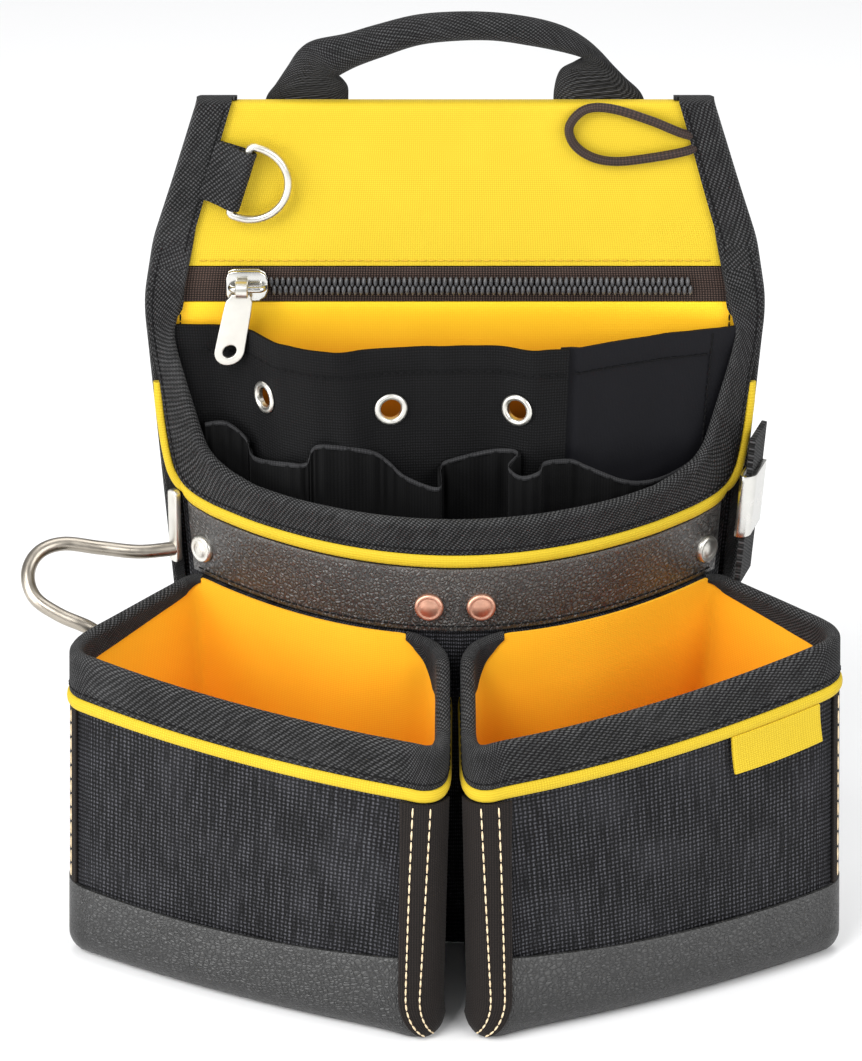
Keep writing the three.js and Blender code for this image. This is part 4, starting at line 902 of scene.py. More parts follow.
eyeletRows = [(3.4, -1.2), (3.9, -1.2), (3.9, 0.2), (5.3, 0.2), (5.5, 0.5), (5.3, 0.9), (4.7, 1.2),
              (4.0, 1.1), (3.5, 0.6), (3.4, 0.0), (3.4, -1.2)]
for at, (spot, normal) in enumerate(eyeletSpots):
    finishPiece(turnedPiece(f"eyelet_ring_{at + 1}", eyeletRows, 32, facing(spot, normal), closed=True),
                satinSteel, "steel", [f"eyelet_{at + 1}"])


def panelHem(left, right):
    def spot(t):
        x = mix(left, right, t)
        here = panelSpot(x, 198.2, panel["thick"] + 0.4)
        return here, Vector(((foldY(x + 1) - foldY(x - 1)) / 2, -1, 0)).normalized()
    return spot


sewRow("dark", 46, panelHem(-84, 36))
sewRow("dark", 18, panelHem(39, 84))
sewRow("dark", 16, lambda t: (panelSpot(85, mix(163, 206, t), 1.5), Vector((0.3, -1, 0)).normalized()))

loops = {"low": 90, "settle": 100, "full": 145, "behind": 2.2, "hem": 0.85, "pleats": 44}
loopPath = [  # hem of the gathered row, x, y, z: three folds stand forward of the panel
    (-83, -9, 173), (-76, -9.5, 173.5), (-69.5, -11.5, 169), (-66.6, -15, 163.3), (-55, -28, 166.8),
    (-48.9, -29.5, 167.5), (-46.9, -30, 172.7), (-42.6, -30.8, 174.5), (-27.9, -28.8, 171.6),
    (-22.3, -29, 168.3),
    (-16, -32, 163.6), (-5.2, -38, 162.4), (-4.6, -26, 164.8), (-1, -25.2, 167), (13, -24.8, 170.3),
    (20.7, -28, 170.8), (17.4, -34, 168.5), (21.6, -38, 166.4), (27.5, -38, 168.2), (29.5, -34, 169.9),
    (38, -30, 168.9), (43.3, -31, 167.1), (54.4, -29, 161.5), (62.3, -25, 158.9), (70.8, -19, 158.6),
    (79.7, -12, 161.2), (83.5, -9, 165.5)]
loopLine = [Vector(row) for row in loopPath]


def loopPlace(across, up):
    hem = curveThrough(loopLine, across)
    z = mix(loops["low"], hem.z, up)
    flat = panelSpot(hem.x, z, loops["behind"])
    share = smooth((z - loops["settle"]) / (loops["full"] - loops["settle"]))
    pleat = 0.45 * sin(2 * pi * loops["pleats"] * across) * smooth((z - 140) / 15)
    return flat.lerp(Vector((hem.x, hem.y + pleat, z)), share)


finishPiece(clothPiece("loopPockets", (308, 40), loopPlace, (190, 85), 0.9), shadedLimpNylon, "black_cloth",
            ["loop_pockets"])


def loopHemPlace(across, up):
    turn = 2 * pi * up
    reach = loops["hem"]
    return curveThrough(loopLine, across) + Vector((0, 0.4 - reach * cos(turn), -0.3 + reach * sin(turn)))


loopHem = tubePiece("loopHem", (216, 8), loopHemPlace, (260, 6))
hemTape = wovenCloth("hemTape", {  # narrow edge tape, paler where a painted highlight is set
    "threadMm": (0.7, 0.7), "uneven": 0.5, "tops": 1.0, "low": "#0c0c0d", "high": "#3c3c3e",
    "highlightColour": "#565658", "roughness": 0.65, "sheen": 0.08, "gloss": 0.25, "bump": 0.5, "reliefMm": 0.15})
finishPiece(loopHem, hemTape, "black_webbing")
print("inner pockets made")

# Main pouch: wall, floor, rim binding, piping, band and rivets
wall = {"low": 1, "reach": 0.985, "thick": 1.8}
wallDrop = {"u": [0, 0.8, 0.9, 0.985], "drop": [2.6, 2.6, 9, 10]}  # under the rim


def wallPlace(across, up):
    u = mix(-wall["reach"], wall["reach"], across)
    top = rimAt(u) - float(np.interp(abs(u), wallDrop["u"], wallDrop["drop"]))
    return mainSpot(u, mix(wall["low"], top, up), 0)


finishPiece(clothPiece("mainWall", (110, 60), wallPlace, (240, 165), wall["thick"]), ballisticNylon,
            "black_cloth", ["main_wall"])


def floorPlace(across, up):
    u = mix(-0.95, 0.95, across)
    front = mainSpot(u, 4, -2.3)
    return Vector((front.x, mix(front.y, -4.0, up), 4))


finishPiece(clothPiece("mainFloor", (50, 14), floorPlace, (160, 45), 2.0), ballisticNylon, "black_cloth",
            ["main_floor"])

mainRim = {"reach": 0.855, "split": 0.6, "outer": 1.5, "deep": 2.1, "round": 2.0, "thick": 1.2,
           "steps": 160}
# the tape turns up and runs on over the side binding: outer edge x, y, z, inner edge x, y, z
rimCorner = [
    (85.6, -13.6, 148.6, 83.9, -16.2, 164.6), (89.3, -9.9, 149.8, 85.3, -15, 166.8),
    (91.9, -8.4, 152.4, 86.2, -14.2, 169.4), (93.8, -7.7, 157.2, 87.1, -13.6, 172.6),
    (95.0, -7.3, 163, 88.1, -12.8, 176.6), (95.9, -7.0, 169.4, 89.2, -12, 181),
    (96.7, -6.8, 176, 90.5, -11, 186.2), (97.5, -6.6, 183, 92, -9.9, 192.3),
    (98.6, -6.4, 190.5, 93.4, -8.9, 198.4), (100, -6.1, 198, 94.2, -7.6, 203.6),
    (101.1, -5.8, 206, 93.4, -6.7, 208.4), (101.3, -5.5, 214, 91.7, -6.2, 213.8),
    (100.3, -5.2, 222.5, 89.6, -5.7, 220.8), (98.2, -4.7, 232, 87.3, -5, 230.2),
    (96, -4.2, 240, 85.3, -4.2, 240.5)]


def rimEdges(share):
    # lower and upper edge of the front leg, from the middle of the rim to its right end
    if share < mainRim["split"]:
        u = share / mainRim["split"] * mainRim["reach"]
        low = mainSpot(u, seamAt(u), mainRim["outer"])
        return low, mainSpot(u, rimAt(u) - mainRim["round"], mainRim["outer"]), mainNormal(u, 155)
    start = rimEdges(mainRim["split"] - 0.0001)
    on = (share - mainRim["split"]) / (1 - mainRim["split"])
    low = curveThrough([start[0]] + [Vector(row[:3]) for row in rimCorner], on)
    high = curveThrough([start[1]] + [Vector(row[3:]) for row in rimCorner], on)
    return low, high, start[2].lerp(Vector((0.1, -1, 0)), smooth(on * 1.3)).normalized()


rimSteps = np.linspace(0, 1, mainRim["steps"] + 1)
rimMiddles = [(edges[0] + edges[1]) / 2 for edges in map(rimEdges, rimSteps)]
rimWalk = np.cumsum([0] + [(after - before).length for before, after in zip(rimMiddles, rimMiddles[1:])])


def rimSection(up, low, high, rise, back, crown, deep):
    # front leg from its low to its high edge, round the fold, then down behind
    if up < foldStart:
        return low.lerp(high, up / foldStart)
    if up > foldEnd:
        return high.lerp(low, (up - foldEnd) / foldStart) + back * (2 * deep)
    turn = pi * (up - foldStart) / foldShare
    return high + rise * (crown * sin(turn)) + back * (deep * (1 - cos(turn)))


def rimPlace(across, up):
    sign = -1 if across < 0.5 else 1
    # even steps keep the weave even
    share = float(np.interp(abs(2 * across - 1) * rimWalk[-1], rimWalk, rimSteps))
    low, high, normal = rimEdges(share)
    settle = smooth((share - 0.86) / 0.12)
    deep = mix(mainRim["deep"], 0.5, settle)
    crown = mix(mainRim["round"], 0.6, settle)
    here = rimSection(up, low, high, (high - low).normalized(), -normal, crown, deep)
    return onSide(here, sign)


finishPiece(clothPiece("rimBinding", (320, 30), rimPlace, (2 * rimWalk[-1], 32), mainRim["thick"],
                       lambda across, up: foldHighlight(up, across), 0.3), bindingTape, "black_webbing",
            ["main_rim_binding"])


def rimSeam(t):
    share = float(np.interp(abs(2 * t - 1) * 0.99 * rimWalk[-1], rimWalk, rimSteps))
    low, high, normal = rimEdges(share)
    here = low + (high - low).normalized() * 1.7
    sign = -1 if t < 0.5 else 1
    return onSide(here, sign), onSide(normal, sign)


sewRow("dark", 160, rimSeam)

pipe = {"tall": 4.4, "deep": 2.2, "gap": 0.3, "reach": 0.965, "split": 0.8}
pipeRun = [  # up the side edge of the panel: middle x, y, z, turn of the section in degrees, width
    (93, -7, 151.2, 28, 4), (95, -6.6, 155.2, 52, 3.4), (96.3, -6.2, 160.8, 68, 3),
    (97.2, -5.8, 166.8, 78, 3),
    (97.9, -5.7, 173, 85, 3), (98.5, -5.7, 180, 88, 3), (98.8, -5.7, 187, 90, 2.6)]


def pipeSection(turn):
    # flattened round: outward reach and height share
    return 0.5 + 0.5 * sin(turn), 0.5 - 0.5 * cos(turn)


def pipeFrame(share):
    # middle, outward direction, turn and width of the piping, from the middle of the pouch to its right end
    along = min(share / pipe["split"], 1)
    u = along * pipe["reach"]
    z = seamAt(u) - pipe["gap"] - pipe["tall"] / 2
    middle = mainSpot(u, z, 0.1 + pipe["deep"] / 2)
    if share <= pipe["split"]:
        return middle, mainNormal(u, z), 0.0, pipe["tall"]
    on = (share - pipe["split"]) / (1 - pipe["split"])
    rows = [np.array([*middle, 0, pipe["tall"]])] + [np.array(row, float) for row in pipeRun]
    row = curveThrough(rows, on)
    outward = mainNormal(u, z).lerp(Vector((0.5, -0.866, 0)), smooth(2 * on)).normalized()
    return Vector(row[:3]), outward, radians(row[3]), row[4]


def mainPipePlace(across, up):
    middle, outward, turn, wide = pipeFrame(abs(2 * across - 1))
    out, rise = pipeSection(2 * pi * up)
    lift = Vector((0, 0, cos(turn))) + Vector((outward.y, -outward.x, 0)) * sin(turn)
    here = middle + outward * ((out - 0.5) * pipe["deep"]) + lift * ((rise - 0.5) * wide)
    return onSide(here, -1 if across < 0.5 else 1)


finishPiece(tubePiece("mainPiping", (240, 12), mainPipePlace, (330, 11)), yellowCanvas, "yellow_cloth",
            ["main_piping"])

band = {"low": 119.8, "reach": 0.95, "out": 1.8, "thick": 1.5}


def bandPlace(across, up):
    u = mix(-band["reach"], band["reach"], across)
    top = seamAt(u) - pipe["tall"] - 0.7
    return mainSpot(u, mix(band["low"], top, up), band["out"] + 0.15 * ripple(u * 90, up * 20, 3, 14))


# painted highlight along the top edge of the band
finishPiece(clothPiece("rivetBand", (120, 16), bandPlace, (230, 22), band["thick"],
                       lambda across, up: 0.35 * smooth((up - 0.9) / 0.1), 0.35),
            bandVinyl, "vinyl", ["rivet_band"])


def bandSeam(t):
    u = mix(-0.93, 0.93, t)
    return mainSpot(u, band["low"] + 1.8, band["out"]), mainNormal(u, 121)


sewRow("dark", 80, bandSeam)

rivetRows = [(4.75, -0.2), (4.75, 0.7), (4.5, 1.2), (4.0, 1.45), (3.5, 1.3), (3.2, 1.25), (2.4, 1.6),
             (1.2, 1.85), (0.3, 1.9)]
rivets = [("copper_left", -0.09, 128.7, rivetCopper, "copper"),
          ("copper_right", 0.09, 128.7, rivetCopper, "copper"),
          ("steel_left", -0.905, 129.5, satinSteel, "steel"),
          ("steel_right", 0.905, 129.5, satinSteel, "steel")]
for name, u, z, metal, slot in rivets:
    place = facing(mainSpot(u, z, band["out"] + 0.2), mainNormal(u, z))
    finishPiece(turnedPiece(f"rivet_cap_{name}", rivetRows, 40, place), metal, slot, [f"rivet_{name}"])
print("main pouch made")

# Nail pouches: the right one, then its mirror
nailForm = {"rimZ": 108, "backGap": 0.8, "innerU": 0.035, "outerU": 0.955, "round": 4.6, "frontRound": 10,
            "backTop": 118.9}
nailCorners = {"innerFront": ((6.5, -121), (3.2, -118)), "outerFront": ((134.5, -60), (131, -51))}
nailCuts = {"innerBack": (9, 9), "innerFront": (19, 13), "outerFront": (13, 13), "outerBack": (9, 9)}
nailSides = {"inner": 2, "front": 7, "outer": 3, "back": 8}
nailBulge = (3, 4)
nailHeights = {  # rim heights; the right pouch stands higher at its outer corner than the left one
    "at": [-3, -1, 0, 2, 4, 9, 13, 17, 21, 24, 27, 29, 32, 37, 39, 40],
    "right": [121, 119.8, 118.4, 115.6, 113, 107, 108.6, 112,
              116, 117.6, 118.6, 119.4, 120.4, 121, 119.8, 118.4],
    "left": [121, 119.8, 118.4, 115.6, 113, 107, 107.6, 108.7,
             110.4, 114, 117.6, 119.4, 120.4, 121, 119.8, 118.4]}
nailRim = {"at": nailHeights["at"], "z": nailHeights["right"]}
nailLeg = 14.5


def bendPoints(before, corner, after, cut):
    start = corner + (before - corner).normalized() * cut
    stop = corner + (after - corner).normalized() * cut
    shares = (0, 0.25, 0.5, 0.75, 1)
    return [start * (1 - t) ** 2 + corner * (2 * t * (1 - t)) + stop * t * t for t in shares]


def sidePoints(start, stop, count, bulge):
    along = stop - start
    outward = Vector((along.y, -along.x)).normalized()
    shares = [(at + 1) / (count + 1) for at in range(count)]
    return [start.lerp(stop, t) + outward * (4 * bulge * t * (1 - t)) for t in shares]


@lru_cache(maxsize=None)
def nailPlan(level):
    z = level * nailForm["rimZ"]

    def backAt(share):
        here = mainSpot(mix(nailForm["outerU"], nailForm["innerU"], share), z, nailForm["backGap"])
        return Vector((here.x, here.y))

    def corner(name):
        base, rim = nailCorners[name]
        return Vector((mix(base[0], rim[0], level), mix(base[1], rim[1], level)))

    def cut(name):
        return mix(*nailCuts[name], level)
    innerBack, outerBack = backAt(1), backAt(0)
    innerFront, outerFront = corner("innerFront"), corner("outerFront")
    bends = [bendPoints(backAt(0.88), innerBack, innerFront, cut("innerBack")),
             bendPoints(innerBack, innerFront, outerFront, cut("innerFront")),
             bendPoints(innerFront, outerFront, outerBack, cut("outerFront")),
             bendPoints(outerFront, outerBack, backAt(0.1), cut("outerBack"))]
    back = [backAt(mix(0.14, 0.84, at / (nailSides["back"] - 1))) for at in range(nailSides["back"])]
    bulge = mix(*nailBulge, level)
    return (bends[0] + sidePoints(bends[0][-1], bends[1][0], nailSides["inner"], 0)
            + bends[1] + sidePoints(bends[1][-1], bends[2][0], nailSides["front"], bulge)
            + bends[2] + sidePoints(bends[2][-1], bends[3][0], nailSides["outer"], 0)
            + bends[3] + back)


def planPoint(plan, at):
    # smooth closed curve through the plan
    count = len(plan)
    low = int(at // 1)
    t = at - low
    a, b, c, d = (plan[(low + step) % count] for step in (-1, 0, 1, 2))
    return curveSum(a, b, c, d, t)


def nailSpot(at, z, out):
    plan = nailPlan(round(min(max(z / nailForm["rimZ"], 0), 1.1), 4))
    here = planPoint(plan, at)
    along = planPoint(plan, at + 0.15) - planPoint(plan, at - 0.15)
    outward = Vector((along.y, -along.x)).normalized()
    return Vector((here.x + outward.x * out, here.y + outward.y * out, z))


def nailNormal(at, z):
    return (nailSpot(at, z, 1) - nailSpot(at, z, 0)).normalized()


def nailRimAt(at):
    return float(np.mean(np.interp([at - 1, at - 0.4, at + 0.4, at + 1], nailRim["at"], nailRim["z"])))


def nailRound(at):
    front = smooth((at - 8) / 4) * smooth((23 - at) / 3)
    return mix(nailForm["round"], nailForm["frontRound"], front)


def nailFoot(at, turn, out):
    # rounded lower edge: turn 0 on the wall, a quarter turn under the floor
    radius = nailRound(at)
    reach = radius + out
    return nailSpot(at, max(radius - reach * sin(turn), 0.1), reach * cos(turn) - radius)


def nailWall(at, z, out):
    # place and outward direction on the wall or, lower down, on the rounded edge
    radius = nailRound(at)
    if z >= radius:
        return nailSpot(at, z, out), nailNormal(at, z)
    turn = asin(min((radius - z) / (radius + out), 1))
    normal = nailNormal(at, z) * cos(turn) - Vector((0, 0, sin(turn)))
    return nailFoot(at, turn, out), normal


def nailSkin(inset, footShare=0.25):
    def place(across, up):
        at = 40 * across
        if up < footShare:
            return nailFoot(at, pi / 2 * (1 - up / footShare), -inset)
        low = nailRound(at)
        behind = smooth((at - 28) / 2.5) * smooth((40.4 - at) / 1.6)
        top = mix(nailRimAt(at) - 2.6, nailForm["backTop"], behind)
        z = mix(low, top, (up - footShare) / (1 - footShare))
        return nailSpot(at, z, -inset)
    return place


def frontSag(place, deep, seed):
    # cloth wall that is not quite flat
    def other(across, up):
        here = place(across, up)
        at = 40 * across
        share = smooth((at - 11) / 2) * smooth((21 - at) / 2) * sin(pi * min(max(up, 0), 1))
        here.y += deep * share * ripple(here.x, here.z, seed, 34)
        return here
    return other


def looseLining(place):
    # lining that stands away from the back wall in soft folds
    def other(across, up):
        here = place(across, up)
        at = 40 * across
        share = smooth((at - 28.5) / 3) * smooth((39.6 - at) / 3) * sin(pi * min(max(up, 0), 1))
        here.y -= 2.2 * share * (0.6 + ripple(here.x, here.z * 0.5, 11, 24))
        return here
    return other


guardSize = {"from": 8.6, "to": 23.4, "lowAt": 16.7, "top": 26, "endRise": 4.5, "out": 1.5}


def guardTop(at):
    return guardSize["top"] + guardSize["endRise"] * ((at - guardSize["lowAt"]) / 6) ** 2


def guardPlace(across, up):
    at = mix(guardSize["from"], guardSize["to"], across)
    if up < 0.45:
        return nailFoot(at, mix(1.0, 0.0, up / 0.45), guardSize["out"])
    z = mix(nailRound(at), guardTop(at), (up - 0.45) / 0.55)
    return nailSpot(at, z, guardSize["out"])


# inner seam tape: place along the loop at the base and at the rim, and how far its foot curls inwards
innerTape = {"back": (7.7, 7.9), "front": (10.3, 11.15), "rows": ((9.48, 9.44), (10.02, 10.45)),
             "curl": 1.6, "curlZ": 17}
outerTape = {"from": 20.0, "to": 22.4, "rows": (20.5, 21.9), "low": 27.3}


def tapeTop(at):
    return nailRimAt(at) - nailLeg - pipe["tall"] - 0.4


def tapeAt(line, z):
    low = max(0.0, 1 - z / innerTape["curlZ"])
    curl = 1 - sqrt(1 - low * low)  # a round turn at the foot
    return mix(*line, min(z / 95, 1)) - innerTape["curl"] * curl


def innerTapePlace(across, up):
    z = mix(0.6, tapeTop(9.5), up)
    at = mix(tapeAt(innerTape["back"], z), tapeAt(innerTape["front"], z), across)
    return nailWall(at, z, 2.6)[0]


def outerTapePlace(across, up):
    at = mix(outerTape["from"], outerTape["to"], across)
    return nailSpot(at, mix(outerTape["low"], tapeTop(at), up), 1.3)


nailTape = {"from": -0.8, "to": 30.2, "outer": 1.5, "inner": -3.3, "round": 2.0}
# how far the tape hangs inside the pouch
nailInside = {"at": [-0.8, 2.4, 18, 22, 24.5, 27, 28.6, 30.2],
              "leg": [0.3, 12.5, 12.5, 8.5, 5.5, 2.8, 1.4, 0.3]}


def nailRimPlace(across, up):
    at = mix(nailTape["from"], nailTape["to"], across)
    rim = nailRimAt(at)
    crown = rim - nailTape["round"]
    # closes at the back corners
    parted = smooth((at - nailTape["from"]) / 2.6) * smooth((nailTape["to"] - at) / 3)
    outer = mix(0.4, nailTape["outer"], parted)
    foot = crown - float(np.interp(at, nailInside["at"], nailInside["leg"]))
    if up < foldStart:
        return nailSpot(at, mix(rim - nailLeg, crown, up / foldStart), outer)
    if up > foldEnd:
        return nailSpot(at, mix(crown, foot, (up - foldEnd) / foldStart), nailTape["inner"])
    turn = pi * (up - foldStart) / foldShare
    middle = (outer + nailTape["inner"]) / 2
    reach = (outer - nailTape["inner"]) / 2
    return nailSpot(at, crown + nailTape["round"] * sin(turn), middle + reach * cos(turn))


def nailPipePlace(across, up):
    at = mix(2.0, 27.0, across)
    out, rise = pipeSection(2 * pi * up)
    low = nailRimAt(at) - nailLeg - pipe["gap"] - pipe["tall"]
    return nailSpot(at, low + rise * pipe["tall"], 0.1 + out * pipe["deep"])


for side in ("right", "left"):
    turned = flipped if side == "left" else (lambda place: place)
    nailRim["z"] = nailHeights[side]
    finishPiece(cupPiece(f"nailShell_{side}", (200, 50), turned(frontSag(nailSkin(0), 1.6, 3)),
                         (380, 130), 1.5), ballisticNylon, "black_cloth", [f"nail_shell_{side}"])
    finishPiece(cupPiece(f"nailLining_{side}", (200, 40),
                         turned(looseLining(frontSag(nailSkin(1.8), 1.6, 3))), (370, 130), 1.0),
                orangeLining, "orange_lining", [f"nail_lining_{side}"])
    rim = clothPiece(f"nailRimBinding_{side}", (240, 30), turned(nailRimPlace), (290, 36), 1.2,
                     lambda across, up: foldHighlight(up, across), 0.3)
    finishPiece(rim, bindingTape, "black_webbing", [f"nail_rim_binding_{side}"])
    finishPiece(tubePiece(f"nailPiping_{side}", (180, 12), turned(nailPipePlace), (290, 11)),
                yellowCanvas, "yellow_cloth", [f"nail_piping_{side}"])
    # painted highlight along the top edge of the guard
    finishPiece(clothPiece(f"baseGuard_{side}", (110, 24), turned(guardPlace), (170, 34), 1.2,
                           lambda across, up: 0.3 * smooth((up - 0.93) / 0.07), 0.3), guardVinyl, "vinyl",
                [f"base_guard_{side}"])
    finishPiece(clothPiece(f"innerSeamTape_{side}", (24, 70), turned(innerTapePlace), (16, 100), 1.0,
                           edge=0.3), seamTape, "black_webbing", [f"inner_seam_tape_{side}"])
    outer = clothPiece(f"outerSeamTape_{side}", (14, 50), turned(outerTapePlace), (10, 62), 1.0, edge=0.3)
    finishPiece(outer, seamTape, "black_webbing", [f"outer_seam_tape_{side}"])
    sign = 1 if side == "right" else -1

    def innerRow(line, sign=sign):
        def spot(t):
            z = mix(1.2, tapeTop(9.5) - 1, t ** 1.25)  # closer steps round the turn
            here, normal = nailWall(tapeAt(line, z), z, 2.7)
            return onSide(here, sign), onSide(normal, sign)
        return spot

    def outerRow(at, sign=sign):
        def spot(t):
            here, normal = nailWall(at, mix(29, tapeTop(at) - 1, t), 1.4)
            return onSide(here, sign), onSide(normal, sign)
        return spot

    def nailRimRow(t, sign=sign):
        at = mix(2.4, 26.6, t)
        here = nailSpot(at, nailRimAt(at) - nailLeg + 1.8, nailTape["outer"])
        normal = nailNormal(at, 100)
        return onSide(here, sign), onSide(normal, sign)
    for line in innerTape["rows"]:
        sewRow("tan", 26, innerRow(line))
    for at in outerTape["rows"]:
        sewRow("tan", 12, outerRow(at))
    sewRow("dark", 70, nailRimRow)
nailRim["z"] = nailHeights["right"]
print("nail pouches made")

# Bare yellow tag under the piping of the right nail pouch
tag = {"from": 16.5, "to": 18.9, "top": 0.3, "tall": 12.6}


def tagPlace(across, up):
    at = mix(tag["from"], tag["to"], across)
    pipeLow = nailRimAt(at) - nailLeg - pipe["gap"] - pipe["tall"]
    z = pipeLow + tag["top"] - tag["tall"] * (1 - up)
    curl = 1.6 * (1 - up) ** 2 + 0.5 * sin(pi * across) * (1 - up)
    return nailSpot(at, z, 2.4 + curl)


finishPiece(clothPiece("labelTag", (24, 14), tagPlace, (26, 13), 1.3, edge=0.35), yellowCanvas,
            "yellow_cloth", ["label_tag"])
print("tag made")

# Carry handle: webbing flat at its ends, rolled into a grip between
# outer edge x, z, inner edge x, z, depth, squareness; the right end is pinched higher than the left
handleTable = [(-62.5, 266, -35, 266, 2.4, 5), (-62.3, 276, -34.8, 276, 2.4, 5),
               (-61.2, 283, -34.6, 283, 2.6, 5), (-58.2, 287.4, -34.7, 286.6, 3.0, 4),
               (-54.4, 293.2, -36.2, 289, 4.4, 3), (-50.6, 298.8, -37.6, 290.2, 7, 2.5),
               (-45.6, 302.2, -36.9, 290.9, 9, 2.2), (-35.4, 304.4, -31.6, 293.7, 10, 2),
               (-26.2, 307.2, -23.6, 296.8, 10, 2), (-13, 310.6, -12, 300.8, 10, 2),
               (0, 311.7, 0, 302.3, 10, 2), (13, 311.4, 12.4, 302.4, 10, 2),
               (26, 309.5, 24.5, 300.6, 10, 2), (35.4, 306.6, 32.6, 299, 10, 2),
               (42, 302.6, 39, 297.4, 9, 2.2), (46.8, 298.4, 40.8, 296.4, 6.4, 2.5),
               (50.8, 294, 38.2, 295, 4.2, 3), (55, 289.6, 33.6, 292, 3, 4),
               (60.4, 284, 31.8, 285, 2.6, 5), (62.3, 276, 32, 276, 2.4, 5), (62.5, 266, 32, 266, 2.4, 5)]
handleRows = [np.array(row, float) for row in handleTable]


def handlePlace(across, up):
    row = curveThrough(handleRows, up)
    turn = 2 * pi * across
    power = 2 / row[5]
    wide = copysign(abs(cos(turn)) ** power, cos(turn))
    deep = copysign(abs(sin(turn)) ** power, sin(turn))
    share = 0.5 + 0.5 * wide
    return Vector((mix(row[0], row[2], share), 3 + row[4] / 2 * deep, mix(row[1], row[3], share)))


finishPiece(tubePiece("handle_grip", (36, 150), handlePlace, (42, 230)), bindingTape, "black_webbing",
            ["handle"])

# D-ring on its webbing tab, laid along the slant of the left side binding
slant = atan((90.8 - 81.5) / 29)
tab = {"z": 260.5, "wide": 20.6, "long": 8, "ringY": -6.7}
tabStart = Vector((-(edgeHalf(tab["z"]) - 11.5 - 0.3), 0, tab["z"]))
tabAlong = Vector((cos(slant), 0, -sin(slant)))
tabAcross = Vector((sin(slant), 0, cos(slant)))
tabLine = [Vector((-3, -6.0, 0)), Vector((1, -6.3, 0)), Vector((4.6, -8.0, 0)), Vector((6.6, -9.2, 0))]
for at in range(9):
    turn = radians(-80 + 170 * at / 8)
    tabLine.append(Vector((tab["long"] + 2.9 * cos(turn), tab["ringY"] + 2.9 * sin(turn), 0)))
tabLine += [Vector((5.5, -3.75, 0)), Vector((-3, -3.75, 0))]


def tabPlace(across, up):
    here = alongLine(tabLine, across)
    middle = tabStart + tabAlong * here.x + tabAcross * ((up - 0.5) * tab["wide"])
    return Vector((middle.x, here.y, middle.z))


finishPiece(clothPiece("ringTab", (60, 20), tabPlace, (30, 21), 1.1, edge=0.3), bindingTape,
            "black_webbing", ["d_ring_tab"])

ring = {"wire": 1.3, "half": 12.4, "straight": 3.5, "corner": 1.6}
ringBar = ring["half"] - ring["corner"]
ringFlat = [(0, mix(-ringBar, ringBar, at / 12)) for at in range(13)]
ringFlat += [(0.5 * (1 - cos(t)) * 3.2, ringBar + ring["corner"] * sin(t)) for t in (0.5, 1.0, 1.5)]
ringFlat += [(ring["straight"] + ring["half"] * cos(t), ring["half"] * sin(t))
             for t in (pi / 2 - pi * at / 40 for at in range(41))]
ringFlat += [(x, -y) for x, y in reversed(ringFlat[13:16])]
barMiddle = tabStart + tabAlong * tab["long"]
ringLine = [barMiddle + tabAlong * x + tabAcross * y + Vector((0, tab["ringY"], 0)) for x, y in ringFlat]
finishPiece(tubePiece("dRing", (14, len(ringLine)), wirePlace(ringLine, ring["wire"], True), (8, 90)),
            satinSteel, "steel", ["d_ring"], "d_ring")

# Elastic loop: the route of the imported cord
elasticSetup = {"radius": 1.5, "y": -5.2, "count": 90}
elasticRoute = [(77.5, 271.6), (72.2, 274), (62.7, 278), (50, 282), (41.7, 281.6), (36.8, 276),
                (38.3, 270), (44, 265.6), (52, 264), (63, 265.2), (74.2, 267.4), (78.6, 268.4)]
elasticPoints = [Vector((x, elasticSetup["y"] if x < 75 else -2.6, z)) for x, z in elasticRoute]
elasticLine = [curveThrough(elasticPoints, at / elasticSetup["count"])
               for at in range(elasticSetup["count"] + 1)]
elasticLong = sum((b - a).length for a, b in zip(elasticLine, elasticLine[1:]))
elasticLoop = tubePiece("elasticLoop", (14, elasticSetup["count"]),
                        wirePlace(elasticLine, elasticSetup["radius"]), (9.4, elasticLong))
finishPiece(elasticLoop, elasticBraid, "elastic", ["elastic_loop"])
print("handle, ring and elastic made")

# Hammer holder on the left: strip, wire loop and foot
hammer = {"u": -0.985, "out": 2.7, "wide": 3.6, "thick": 2.4, "low": 122.5, "high": 148, "join": 126.7,
          "wire": 2.4}
hammerRoute = [(-106, -10, 126.5), (-119.6, -9, 127.5), (-132, -9, 129), (-140, -13, 127.5),
               (-143.2, -19, 122.5), (-140.5, -25, 116.5), (-132, -29, 112), (-121.8, -31, 108),
               (-116.5, -28, 101)]
footSize = {"at": 25.7, "z": 86, "wide": 12, "tall": 14, "thick": 2}


def leftNail(at, z, out):
    return onSide(nailSpot(at, z, out), -1)


def roundedBox(wide, tall, corner):
    outline = []
    for cx, cy, start in ((1, 1, 0), (-1, 1, 90), (-1, -1, 180), (1, -1, 270)):
        for step in range(5):
            turn = radians(start + 22.5 * step)
            outline.append((cx * (wide / 2 - corner) + corner * cos(turn),
                            cy * (tall / 2 - corner) + corner * sin(turn)))
    return outline


